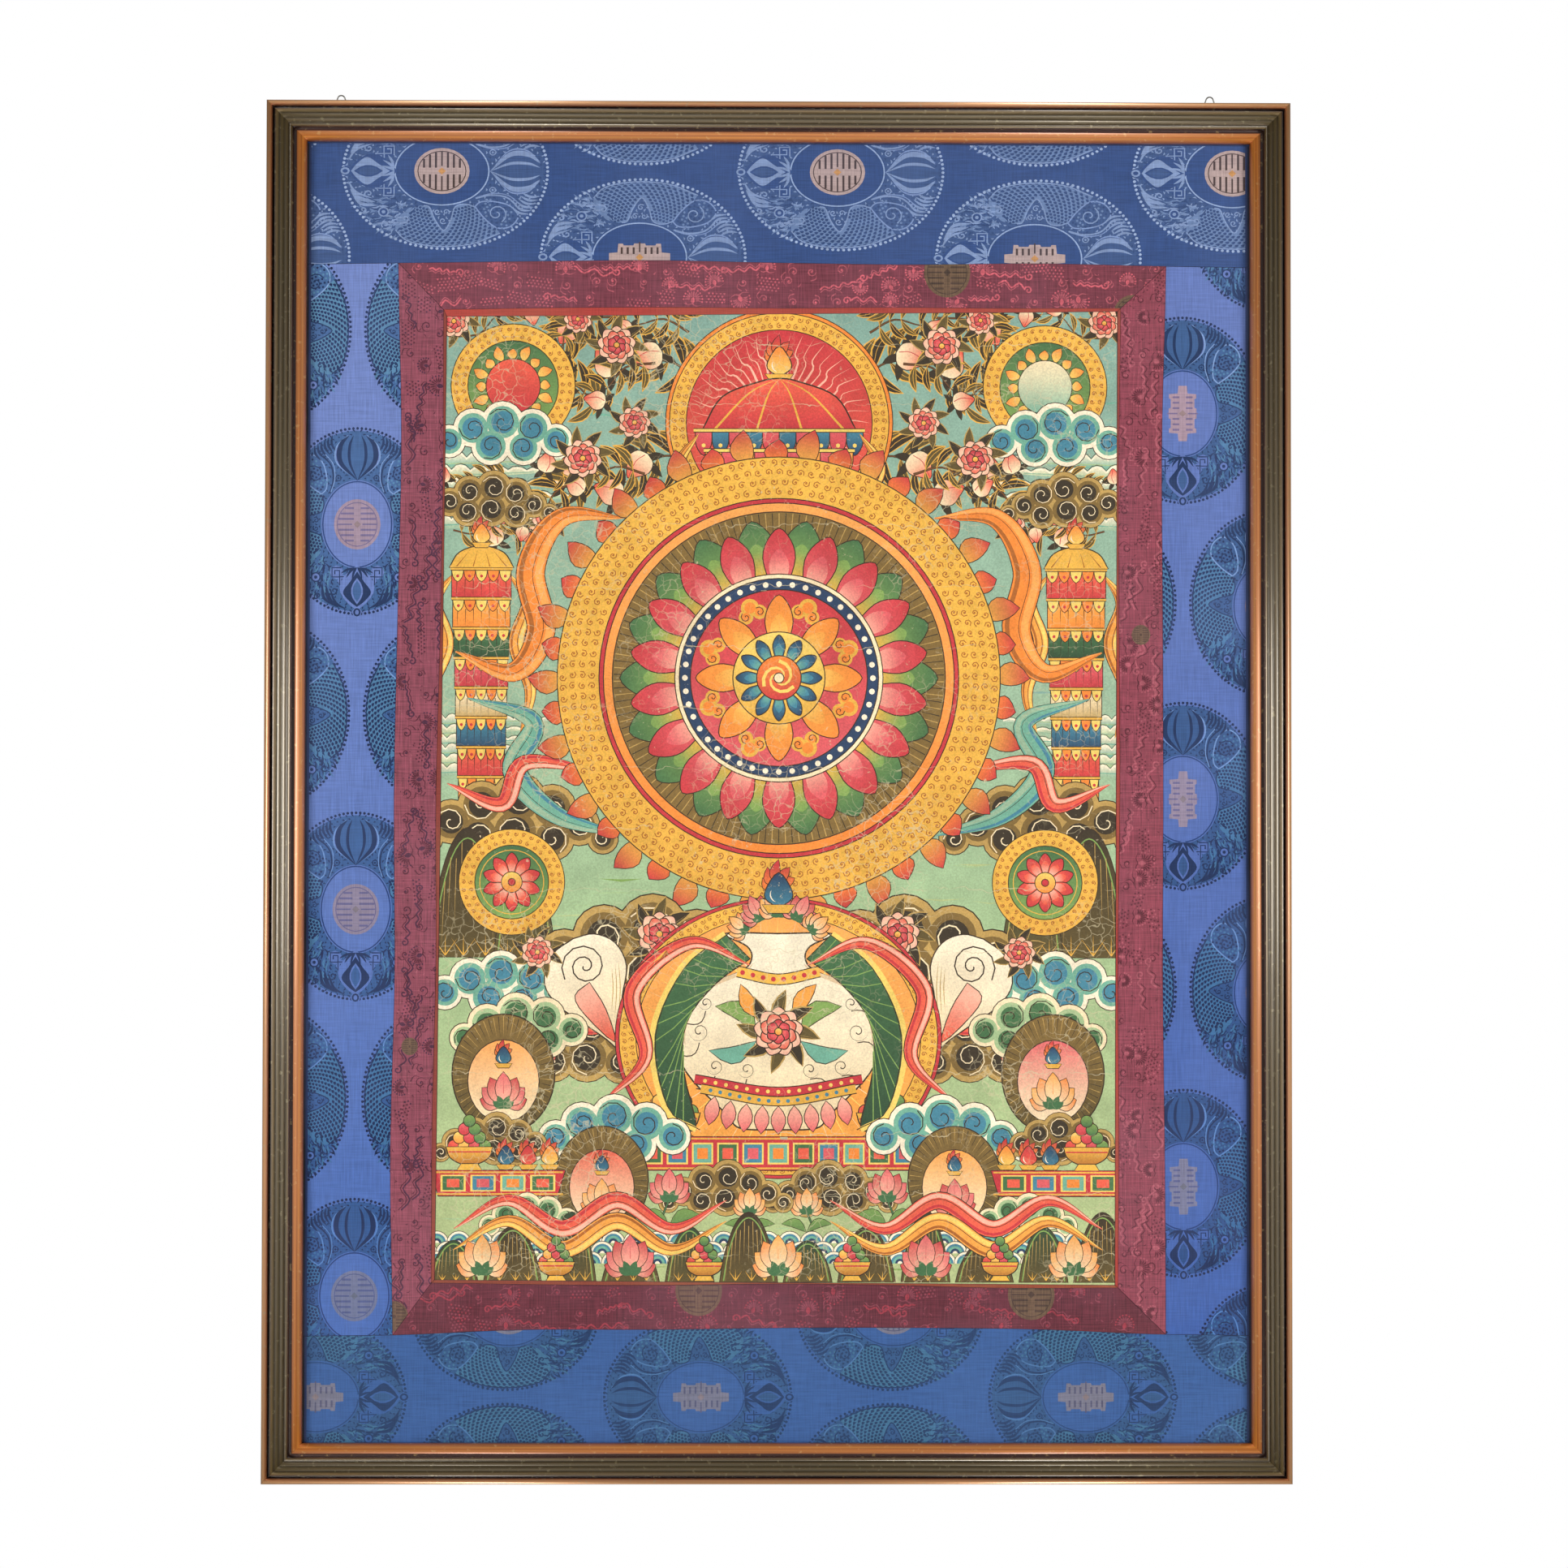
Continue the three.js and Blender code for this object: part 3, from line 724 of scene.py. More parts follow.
def cut_cloth(name, packed, drawing, dyes, thickness, back_dye, materials, spacing=10.0,
        declared=True):
    global cloth_triangles
    outline = front_outline(packed)
    looks = ["ground"] + [shape[1] if shape[1] == shape[2] else number for number,
        shape in enumerate(drawing.shapes)]
    places, front, tops = triangulate(outline, [shape[0] for shape in drawing.shapes], looks, spacing)
    rim = rim_loop(front)
    back_places, back, _ = triangulate(places[rim], [], ["back"], 3 * spacing)
    back_rim = np.argmin(np.sum((places[rim][:, None] - back_places[None]) ** 2, 2), 1)
    flat = np.vstack([places, back_places])
    lift = np.repeat([thickness / 2, -thickness / 2], [len(places), len(back_places)])
    y = -(CLOTH_DEPTH + ripple(*flat.T) + lift)
    corners = np.stack([flat[:, 0], y, flat[:, 1]], 1) * MM
    back_rim = back_rim + len(places)
    next_rim, next_back = np.roll(rim, -1), np.roll(back_rim, -1)
    rim_faces = np.vstack([np.stack([rim, back_rim, next_back], 1), np.stack([rim, next_back, next_rim], 1)])
    partners = np.vstack([np.stack([rim, rim, next_rim], 1), np.stack([rim, next_rim, next_rim], 1)])
    whole = np.concatenate([back_rim != next_back, np.ones(len(rim), bool)])
    rim_faces, partners = rim_faces[whole], partners[whole]
    faces = np.vstack([front, back[:, ::-1] + len(places), rim_faces])
    mesh = bpy.data.meshes.new(name)
    mesh.from_pydata(corners.tolist(), [], faces.tolist())
    piece = add_object(name, mesh)

    # Dye each front corner from its triangle's top shape. The alpha says how lustrous the thread is.
    table = {key: np.array(linear(colour)[:3] + (lustre,)) for key, (colour, lustre) in dyes.items()}
    shapes = [(None, "ground", "ground", np.zeros((2, 2)))] + drawing.shapes
    first = np.array([table[s[1]] for s in shapes])
    second = np.array([table[s[2]] for s in shapes])
    start = np.array([s[3][0] for s in shapes])
    run = np.array([s[3][1] - s[3][0] for s in shapes])
    owner = np.repeat(tops, 3)
    at = places[front.ravel()]
    t = np.sum((at - start[owner]) * run[owner], 1) / np.maximum(np.sum(run[owner] ** 2, 1), 1e-9)
    t = np.clip(t, 0, 1)[:, None]
    colours = np.empty((len(faces) * 3, 4), np.float32)
    colours[:] = linear(back_dye)[:3] + (0.0,)
    colours[:len(owner)] = first[owner] * (1 - t) + second[owner] * t
    kept = mesh.attributes.new("dye", "FLOAT_COLOR", "CORNER")
    kept.data.foreach_set("color", colours.ravel())

    # One flat map for baking: the front to scale, the back smaller beside it, the rim just outside.
    low, size = flat.min(0), np.ptp(flat, axis=0).max() * 1.02
    uv = (flat - low) / size + 0.005
    upright = np.ptp(flat[:, 0]) < np.ptp(flat[:, 1])
    uv[len(places):] = (flat[len(places):] - low) / size * 0.2 + ((0.79, 0.01) if upright else (0.01, 0.79))
    wide = uv[faces.ravel()]
    beside = uv[partners.ravel()]
    outward = np.sign(beside - uv[:len(places)].mean(0)) * 0.004
    wide[3 * (len(front) + len(back)):] = beside + outward * (rim_faces.ravel() >= len(places))[:, None]
    layer = mesh.uv_layers.new(name="OFBake")
    layer.uv.foreach_set("vector", wide.astype(np.float32).ravel())

    numbers = np.repeat([0, 1, 0], [len(front), len(back), len(rim_faces)])
    for material in materials:
        mesh.materials.append(material)
    mesh.polygons.foreach_set("material_index", numbers.astype(np.int32))
    smooth_front(mesh, len(front) + len(back), len(places))
    area = abs(signed_area(outline)) * MM * MM
    wide_by_long = np.ptp(outline, axis=0) * MM
    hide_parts(packed)
    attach(piece, "root")
    if declared:
        min(area, float(wide_by_long.prod()))
    cloth_triangles += len(faces)
    print(f"{name}: {len(faces)} triangles, cut {wide_by_long.round(3).tolist()} m, {area:.4f} m2")
    return piece


def smooth_front(mesh, smooth_faces, front_corners):
    """Gives the front and back the normals of the rippled surface itself, so that slivers don't shade."""
    count = len(mesh.vertices)
    at = np.empty(count * 3, np.float32)
    mesh.vertices.foreach_get("co", at)
    x, _, z = at.reshape(-1, 3).astype(float).T / MM
    step = 1.0
    slope_x = (ripple(x + step, z) - ripple(x - step, z)) / (2 * step)
    slope_z = (ripple(x, z + step) - ripple(x, z - step)) / (2 * step)
    normals = np.stack([-slope_x, -np.ones(count), -slope_z], 1)
    normals /= np.linalg.norm(normals, axis=1)[:, None]
    normals[front_corners:] *= -1
    loops = np.empty(len(mesh.loops), np.int32)
    mesh.loops.foreach_get("vertex_index", loops)
    per_corner = normals[loops]
    per_corner[3 * smooth_faces:] = 0      # the rim keeps its own
    mesh.normals_split_custom_set(per_corner.tolist())


# %% [markdown]
# ## The blue brocade
#
# The wide outer border is silk brocade with a traditional medallion: a beaded oval holds a ring, a ribbed
# lantern at its head, a bud at its foot, and a scaly serpent curled up each side. The roundel in the ring is
# a plain lattice. Half of the medallion is drawn and mirrored. Places in it are given as an angle from the
# lantern and a share of the way from the ring out to the beads.

# %% The medallion
RING_CENTRE, RING_RADII = np.array((0.0, -2.5)), np.array((26.6, 33.1))
BEAD_RADII = np.array((60.6, 71.9))


def within(angle, share):
    """A point between the medallion's ring and its beads."""
    angle, share = np.radians(np.asarray(angle, float)), np.asarray(share, float)
    centre = RING_CENTRE * (1 - share)[..., None]
    radii = RING_RADII * (1 - share)[..., None] + BEAD_RADII * share[..., None]
    return centre + radii * np.stack([np.sin(angle), np.cos(angle)], -1)


def path(places, steps=4, closed=False):
    """A smooth curve through places that are each given as an angle and a share."""
    angles, shares = np.array(places + places[:1] if closed else places).T
    return curve(within(angles, shares), steps)


def filling():
    """Fine strokes that fill the ground between the large figures, on the right half."""
    half = Drawing()
    strokes = np.random.default_rng(3)
    for row, share in enumerate(np.linspace(0.07, 0.95, 13)):
        pitch = 4.4 / (0.45 + 0.55 * share)
        for angle in np.arange(3 + (row % 2) * pitch / 2, 178, pitch):
            at = within(angle, share)
            heading = math.radians(angle * 2.3 + 70 * math.sin(share * 9 + angle / 17)
                + strokes.uniform(-25, 25))
            run = np.array([math.sin(heading), math.cos(heading)]) * strokes.uniform(1.0, 1.8)
            half.fill(leaf(at - run, at + run, 1.25, 0.2, 2), "figure" if strokes.random() < 0.62
                else "cell")
    return half


def serpent():
    """The right half of the medallion's filling: a coiled body of scales, its mane, head and curled tail."""
    half = filling()
    strokes = np.random.default_rng(8)
    body = [(56, 0.93), (75, 0.95), (95, 0.95), (112, 0.95), (122, 0.82), (126, 0.5), (120, 0.18),
        (111, 0.07), (104, 0.08), (97, 0.34), (90, 0.58), (83, 0.34), (75, 0.07), (62, 0.08), (54, 0.3)]
    half.fill(path(body, closed=True)[:-1], "net")
    for row, share in enumerate(np.linspace(0.12, 0.92, 13)):
        for angle in np.arange(57 + (row % 2) * 1.9, 121, 3.8):
            if abs(angle - 90) < 15 * (1 - share / 0.62) + 1.2:
                continue
            tip, tail = within(angle - 1.5, share - 0.01), within(angle + 1.5, share + 0.025)
            half.fill(leaf(tip, tail, 2.2, 0.18, 3), "cell")
    for inner in (body[7:], body[:5]):
        half.line(path(inner), 0.9, "figure")
    # The small scroll panel under the ring, inside the body's notch.
    for angle, share, reach, turn in ((90, 0.36, 2.6, 1.2), (86, 0.16, 2.4, -1.2), (95, 0.16, 2.4, 1.2)):
        half.line(spiral(within(angle, share), reach, 40, turn), 0.8, "figure")
    # The curled lobe near the lantern, filled with dots.
    lobe = [(56, 0.2), (47, 0.18), (38, 0.36), (35, 0.62), (39, 0.86), (48, 0.92), (55, 0.8), (57, 0.5)]
    lobe_edge = path(lobe, closed=True)
    half.fill(lobe_edge[:-1], "fill")
    half.line(lobe_edge, 1.0, "halo")
    for row, share in enumerate(np.linspace(0.26, 0.86, 9)):
        for angle in np.arange(39 + (row % 2) * 1.7, 55.5, 3.4):
            half.fill(oval(within(angle, share), 1.0, 5), "cell" if (row + int(angle)) % 3 else "net")
    half.line(spiral(within(47, 0.55), 7.5, 60, -1.4), 0.9, "figure")
    # The comb of fins, the fin lines beside the lantern, and the ring with a dot below it.
    for angle in np.linspace(19, 34, 6):
        half.line(path([(angle, 0.97), (angle + 2.5, 0.82), (angle + 1, 0.64)], 3), 1.9, "figure", "leaf")
    for reach, dye, width in ((0, "figure", 1.2), (2.5, "halo", 0.7)):
        half.line(path([(32 - reach, 0.7), (29 - reach, 0.45), (34 - reach, 0.2), (48 - reach, 0.06)], 5),
            width, dye)
    half.line(oval(within(27, 0.17), 2.1, 10), 0.8, "figure", closed=True)
    half.fill(oval(within(27, 0.17), 0.9, 6), "figure")
    # The mane is a mass of wavy strokes round the eye, in the figure's and the net's threads.
    for _ in range(95):
        angle, share = strokes.uniform(116, 152), strokes.uniform(0.14, 0.94)
        at = within(angle, share)
        heading = math.radians(angle + 40 + strokes.uniform(-35, 35))
        run = np.array([math.sin(heading), math.cos(heading)]) * strokes.uniform(4.0, 8.0)
        bow = np.array([run[1], -run[0]]) * strokes.uniform(-0.25, 0.25)
        half.line(curve([at, at + run / 2 + bow, at + run], 2), strokes.uniform(0.9, 1.7),
            ("figure", "net", "cell")[strokes.integers(0, 3)], "leaf")
    eye = within(138, 0.62)
    half.fill(oval(eye, 3.6, 12), "ground")
    half.line(oval(eye, 3.4, 12), 1.0, "figure", closed=True)
    half.fill(oval(eye, 1.4, 6), "figure")
    for angle, share, size in ((153, 0.24, 3.6), (164, 0.34, 3.0)):
        at = within(angle, share)
        half.fill(oval(at, size * 1.5, 8), "ground")
        steps = np.array([(-1, 1), (1, 1), (1, -1), (-0.6, -1), (-0.6, 0.4), (0.4, 0.4), (0.4, -0.4)]) * size
        half.line(at + steps, 1.1, "figure")
    for start, end, width in ((149, 166, 3.4), (153, 172, 2.0), (145, 159, 2.4)):
        half.line(path([(start, 0.60), ((start + end) / 2, 0.84), (end, 0.92)], 5), width, "figure", "leaf")
    for angle, share, turn in ((130, 0.82, 1.1), (121, 0.5, -1.1), (148, 0.9, -1.1), (158, 0.62, 1.0)):
        half.line(spiral(within(angle, share), 3.0, angle, turn), 1.0, "figure")
    return half


def roundel(size=1.0, stepped=False):
    """A plain lattice of bars, woven in its own thread, inside a disc or a block with stepped ends."""
    made = Drawing()
    if stepped:
        steps = [(3.2, 21.5), (3.8, 15.6), (10.6, 15), (10.6, 11.8), (9.2, 11.2), (9.2, 4.4), (10.8, 3.8),
            (10.8, 0)]
        right = np.array(steps + [(x, -z) for x, z in steps[-2::-1]], float)
        made.fill(np.vstack([right, right[::-1] * (-1, 1)]) * size, "roundel")
    else:
        made.fill(oval((0, 0), (18.0 * size, 19.5 * size), 28), "roundel")
        made.line(oval((0, 0), (15.4 * size, 16.9 * size), 28), 0.7 * size, "lattice", closed=True)
    for z in (-12.6, -8.4, -4.2, 4.2, 8.4, 12.6):
        reach = 7.8 if stepped else math.sqrt(15.0 ** 2 - z * z * 0.85)
        for low, high in ((-reach, -2.6), (2.6, reach)):
            made.line(np.array([(low, z), (high, z)]) * size, 1.5 * size, "lattice")
    made.line(np.array([(-12 if stepped else -15, 0), (-4, 0)]) * size, 1.1 * size, "lattice")
    made.line(np.array([(4, 0), (12 if stepped else 15, 0)]) * size, 1.1 * size, "lattice")
    made.fill(np.array([(-2.8, 0), (0, 2.8), (2.8, 0), (0, -2.8)]) * size, "heart")
    return made


def medallion(stepped):
    made = Drawing()
    made.fill(oval((0, 0), BEAD_RADII - 1.8, 60), "fill")
    half = serpent()
    made.lay(half)
    made.lay(half, flip=True)
    for bead in oval((0, 0), BEAD_RADII, 118):
        made.fill(oval(bead, 1.15, 6), "bead")
    made.fill(oval(RING_CENTRE, RING_RADII + 1.2, 40), "ground")
    made.line(oval(RING_CENTRE, RING_RADII, 48), 1.0, "ring", closed=True)
    # The lantern stands on the ring. Its outer ribs are thick crescents, with a thin light line round it.
    foot, head, reach = 31.5, 66.5, 14.2
    sides = [curve([(0, foot), (side * reach * 0.95, foot + 13), (side * reach * 0.98, head - 9),
        (side * reach * 0.45, head)], 6) for side in (1, -1)]
    lantern = np.vstack([sides[0], sides[1][::-1][:-1]])
    made.fill(lantern * (1.2, 1.0), "halo")
    made.fill(lantern * (1.12, 1.0), "ground")
    made.fill(lantern, "fill")
    for share, width in ((0.92, 4.0), (0.42, 2.3)):
        for side in (1, -1):
            rib = curve([(0, foot), (side * reach * share, foot + 14), (side * reach * share, head - 8),
                (side * 0.5 * reach * share, head)], 5)
            made.line(rib, width, "figure", "leaf")
    # The bud hangs below the ring on a fan of leaf strokes, and a small ring closes it at the beads.
    top, tip, wide = -39.0, -66.5, 10.8
    made.fill(leaf((0, -34), (0, -69), 27, 0, 8), "ground")
    bud = [curve([(0, top), (side * wide * 0.5, top - 8), (side * wide, top - 16),
        (side * wide * 0.55, top - 23), (0, tip)], 4) for side in (1, -1)]
    made.fill(np.vstack([bud[0], bud[1][-2:0:-1]]), "figure")
    made.fill(leaf((0, top - 5), (0, tip + 2), 9.4), "ground")
    made.fill(leaf((0, top - 7), (0, tip + 4), 7.0), "fill")
    for side in (1, -1):
        for spread, drop in ((4, 9.5), (8.5, 8.0), (12.5, 4.5)):
            made.line(curve([(0, -36), (side * spread * 0.6, -36 - drop * 0.35),
                (side * spread, -36 - drop)], 3), 1.9, "figure", "leaf")
    made.fill(oval((0, -70.6), (3.6, 4.0), 10), "ground")
    made.line(oval((0, -70.6), (2.2, 2.6), 10), 1.4, "figure", closed=True)
    made.lay(roundel(stepped=stepped), at=RING_CENTRE)
    return made


MEDALLIONS = (medallion(False), medallion(True))
print("medallion shapes:", len(MEDALLIONS[0].shapes))


# %% [markdown]
# ### Silk brocade
#
# The ground is a satin of fine threads and the figures float over it, so the two catch the light
# differently. Real threads are about 0.2 mm apart, too fine to show, so slubs are drawn about 1 mm thick.
# Two noises drawn out along the warp and the weft give them, and a broad noise gives the fading.

# %% Brocade material
def cloth_material(name, thread=1.0, contrast=0.16, roughness=0.55, sheen=0.15, fade="#8a8fb4", faded=0.12,
        warp=1.0, weft=1.0, foot="#ffffff"):
    """Dyed cloth with threads both ways, broad fading, and a tint that grows from its head to its foot."""
    material, tree, shader = new_material(name, Roughness=roughness, Sheen_Weight=sheen,
        Sheen_Roughness=0.4, IOR=1.45)
    dye = node(tree, "Attribute", attribute_name="dye")
    place = node(tree, "TexCoord").outputs["Object"]
    fine = 1 / (thread * MM)
    along_warp = node(tree, "Mapping", {"Vector": place, "Scale": (fine * 0.8, 1, fine * 0.035)})
    along_weft = node(tree, "Mapping", {"Vector": place, "Scale": (fine * 0.035, 1, fine * 0.8)})
    warps = node(tree, "TexNoise", {"Vector": along_warp, "Scale": 1.0, "Detail": 2.0, "Roughness": 0.6})
    wefts = node(tree, "TexNoise", {"Vector": along_weft, "Scale": 1.0, "Detail": 2.0, "Roughness": 0.6})
    weighted = node(tree, "Math", {0: warps, 1: warp}, operation="MULTIPLY")
    threads = node(tree, "Math", {0: wefts, 1: weft, 2: weighted}, operation="MULTIPLY_ADD")
    middle = (warp + weft) / 2
    shade = node(tree, "MapRange", {0: threads, 1: middle - 0.3, 2: middle + 0.3, 3: 1 - contrast,
        4: 1 + contrast})
    threaded = node(tree, "VectorMath", {0: dye.outputs["Color"], "Scale": shade}, operation="SCALE")
    height = node(tree, "SeparateXYZ", {0: place}).outputs["Z"]
    down = node(tree, "MapRange", {0: height, 1: -0.18, 2: -1.0})
    tint = ramp(tree, down, [(0.0, "#ffffff"), (1.0, foot)])
    threaded = node(tree, "VectorMath", {0: threaded, 1: tint}, operation="MULTIPLY")
    broad = node(tree, "TexNoise", {"Vector": place, "Scale": 9.0, "Detail": 5.0, "Roughness": 0.6})
    fading = node(tree, "MapRange", {0: broad, 1: 0.4, 2: 0.75, 3: 0.0, 4: faded * 2})
    aged = node(tree, "Mix", {0: fading, 6: threaded, 7: linear(fade)}, data_type="RGBA")
    gloss = node(tree, "MapRange", {0: dye.outputs["Alpha"], 3: roughness, 4: roughness - 0.2})
    relief = node(tree, "Bump", {"Height": threads, "Strength": 0.35, "Distance": 0.0004})
    wire(tree, shader, {"Base Color": aged.outputs[2], "Roughness": gloss, "Normal": relief})
    return material


# %% Lay out and cut the blue panels
def from_photo(px, py):
    """Millimetres on the cloth for a place in a photograph taken at 1.6 pixels to the millimetre."""
    return ((px - 959) / 1.6, (973.5 - py) / 1.6 - 539.9)


def half_drop(across, repeat, drop, first, columns, rows, turn, size, stepped):
    """Medallions in a half-drop lattice: repeat is the step along the motif's axis, drop the step across it.
    Rows with a disc take turns with rows with a stepped block. stepped says which the first row has."""
    made = Drawing()
    for row in rows:
        for column in columns:
            shift = (column + (row % 2) / 2) * repeat
            at = np.array(first) + (np.array((shift, row * drop)) if across
                else np.array((row * drop, shift)))
            made.lay(MEDALLIONS[(row + stepped) % 2], at, turn, size)
    return made


blue_back = cloth_material("brocade_back_floats", contrast=0.25, fade="#6f7a9c")
night_silk = cloth_material("figured_silk_dark_blue", contrast=0.2, sheen=0.05, fade="#6a7eb0", faded=0.08,
    weft=1.3, thread=0.9)
day_silk = cloth_material("figured_silk_light_blue", contrast=0.18, sheen=0.05, fade="#7f92cc", faded=0.08,
    warp=1.3, foot="#96c4e4", thread=0.9)
low_silk = cloth_material("figured_silk_mid_blue", contrast=0.2, sheen=0.05, fade="#5f7fb4", faded=0.06,
    weft=1.2, thread=0.9)
THREADS = ("ground", "figure", "fill", "net", "cell", "bead", "ring", "halo", "roundel", "lattice", "heart")
# Painted shadow: a near-black and a dark blue, laid on the blue cloth where it dips under the fillet.
PAINTED_SHADOW = {"soot": ("#10121c", 0.0), "shade": ("#2c3c6a", 0.2)}


def thread_dyes(colours, lustres=(0.5, 0.4, 0.4, 0.5, 0.3, 0.4, 0.4, 0.6, 0.4, 0.3, 0.5)):
    """The colour and the lustre of each of the THREADS, and of the painted shadow at the rim."""
    return {**dict(zip(THREADS, zip(colours.split(), lustres))), **PAINTED_SHADOW}


TOP_DYES = thread_dyes(
    "#304b80 #8196be #3c5584 #6981ab #2d4675 #9db0d2 #92a7cd #7d93c0 #b69e99 #473530 #c89156",
    (0.3, 0.7, 0.4, 0.6, 0.3, 0.8, 0.7, 0.6, 0.6, 0.2, 0.9))
SIDE_DYES = thread_dyes(
    "#7084c0 #132e58 #426697 #5684a7 #112654 #0e234a #1e3f76 #7f9dcd #ac909c #7a6a8e #9b8180")
# Painted shade: the left panel's dyes with ground, fill and net darker, for the right panel.
RIGHT_SHADED_DYES = thread_dyes(
    "#6176b4 #132e58 #385a8a #4e7ca2 #112654 #0e234a #1e3f76 #7f9dcd #ac909c #7a6a8e #9b8180")
BOTTOM_DYES = thread_dyes(
    "#365b95 #19355e #2f5481 #3d6c8e #1b385e #1a365c #244575 #4973a2 #747384 #54546e #837579")
panels = {"blue_top": (half_drop(True, 306.5, 66.5, from_photo(1036, 206), (-2, -1, 0, 1), (-1, 0, 1), -90,
    (1.0, 1.1), False), TOP_DYES, night_silk),
    "blue_left": (half_drop(False, -297.5, -66.3, from_photo(438, 641), (-2, -1, 0, 1, 2, 3), (-1, 0, 1), 0,
    1.0, False), SIDE_DYES, day_silk), "blue_right": (half_drop(False, -299.0, 66.3, from_photo(1460, 501),
    (-2, -1, 0, 1, 2, 3), (-1, 0, 1), 0, 1.0, True), RIGHT_SHADED_DYES, day_silk),
    "blue_bottom": (half_drop(True, 296.5, -66.0, from_photo(861, 1721), (-2, -1, 0, 1), (-1, 0, 1), 90,
    1.0, True), BOTTOM_DYES, low_silk),}
for packed, (drawing, dyes, silk) in panels.items():
    # Painted shadow: dark bands where the cloth dips under the fillet, wider at the sides than at the top.
    for side in (1, -1):
        for near, far, dye, to in ((362.0, 366.5, "shade", "soot"), (363.8, 372, "soot", "soot")):
            drawing.fill([(side * near, -20), (side * far, -20), (side * far, -1080), (side * near, -1080)],
                dye, to, [(side * near, 0), (side * far, 0)])
    drawing.fill([(-380, -38.9), (380, -38.9), (380, -20), (-380, -20)], "shade", "soot",
        [(0, -38.9), (0, -37)])
    cut_cloth("brocade_" + packed, packed, drawing, dyes, 1.2, "#46598a", [silk, blue_back])


# %% [markdown]
# ## Seam allowances
#
# Two cloths are sewn edge to edge by turning their edges back behind the seam. A plain gap would let light
# through, so each seam gets its turned-back allowance, a thin tape of cloth close behind it, as on the real
# back. Where two of them cross, one lies a little deeper than the other.

# %% Turned-back seams
def edges_of(outline):
    """An outline's sides, split where it turns by more than 25 degrees."""
    ahead = np.roll(outline, -1, 0) - outline
    heading = np.degrees(np.arctan2(ahead[:, 1], ahead[:, 0]))
    bend = np.abs((heading - np.roll(heading, 1) + 180) % 360 - 180)
    corners = np.flatnonzero(bend > 25)
    outline = np.roll(outline, -corners[0], 0)
    corners = list(corners - corners[0]) + [len(outline)]
    closed = np.vstack([outline, outline[:1]])
    return [closed[a:b + 1] for a, b in zip(corners, corners[1:])]


def side_of(name, direction):
    """The side of a packed cloth that lies furthest in a direction."""
    return max(edges_of(front_outline(name)), key=lambda edge: float(edge.mean(0) @ np.array(direction)))


def tape(points, width, lift, thickness=0.5, reach=2.5):
    """Corners and faces of a tape that follows points behind the cloth and runs on a little at its ends."""
    ends = np.array([points[0] - points[1], points[-1] - points[-2]])
    ends *= reach / np.hypot(*ends.T)[:, None]
    points = np.vstack([points[:1] + ends[:1], points, points[-1:] + ends[1:]])
    fine = np.vstack([np.linspace(a, b, 3)[:-1] for a, b in zip(points, points[1:])] + [points[-1:]])
    ahead = np.gradient(fine, axis=0)
    ahead /= np.hypot(*ahead.T)[:, None]
    side = np.stack([-ahead[:, 1], ahead[:, 0]], 1) * width / 2
    rows = []
    for edge, level in ((fine + side, lift), (fine - side, lift), (fine - side, lift - thickness),
            (fine + side, lift - thickness)):
        rows.append(np.stack([edge[:, 0], -(CLOTH_DEPTH + ripple(*edge.T) + level), edge[:, 1]], 1) * MM)
    corners = np.stack(rows, 1).reshape(-1, 3)
    faces = [(0, 3, 2, 1)]
    for i in range(len(fine) - 1):
        a, b = 4 * i, 4 * i + 4
        faces += [(a + k, a + (k + 1) % 4, b + (k + 1) % 4, b + k) for k in range(4)]
    last = 4 * len(fine) - 4
    faces.append((last, last + 1, last + 2, last + 3))
    return corners, faces


def middle_line(name):
    """The line half-way between a packed strip's two long sides."""
    one, other = sorted(edges_of(front_outline(name)), key=len)[-2:]
    return (one + other[::-1]) / 2


OUTWARD = {"top": (0, 1), "right": (1, 0), "bottom": (0, -1), "left": (-1, 0)}
CLOCKWISE = {"top": (1, 0), "right": (0, -1), "bottom": (-1, 0), "left": (0, 1)}
tape_cloth = cloth_material("turned_back_silk", contrast=0.2, fade="#5c5468", faded=0.15)
for number, side in enumerate(SIDES):
    level = -0.7 - 0.12 * (number % 2)
    seams = [(side_of("maroon_" + side, OUTWARD[side]), 13, level), (middle_line("edging_" + side), 17,
        level - 0.35), (side_of("maroon_" + side, CLOCKWISE[side]), 11, level - 1.2)]
    if side in ("left", "right"):
        seams += [(side_of("blue_" + side, (0, up)), 13, -1.4) for up in (1, -1)]
    corners, faces = [], []
    for line, width, lift in seams:
        new_corners, new_faces = tape(line, width, lift)
        faces += [tuple(len(corners) + i for i in face) for face in new_faces]
        corners += new_corners.tolist()
    mesh = bpy.data.meshes.new("seam_allowance_" + side)
    mesh.from_pydata(corners, [], faces)
    dyed = mesh.attributes.new("dye", "FLOAT_COLOR", "CORNER")
    dyed.data.foreach_set("color", np.tile(linear("#5a4668"), len(mesh.loops)))
    mesh.materials.append(tape_cloth)
    tape_piece = add_object(mesh.name, mesh)
    edit_whole(tape_piece)
    bpy.ops.mesh.normals_make_consistent(inside=False)
    bpy.ops.object.mode_set(mode="OBJECT")
    bpy.ops.object.shade_smooth_by_angle(angle=math.radians(30))
    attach(tape_piece, "root")


# %% [markdown]
# ## The wine-red border and the red edging
#
# The inner border is a wine-red brocade of clouds, hooks and flower sprays. Its top strip shows the bright
# side of the weave, its side strips show the dark side, and its lower strip has faded. Four strips meet at
# mitres. Inside them lies a narrow folded edging of plain red silk, thick enough to stand a little proud.

# %% Cloud scrolls of the border
rng = np.random.default_rng(11)


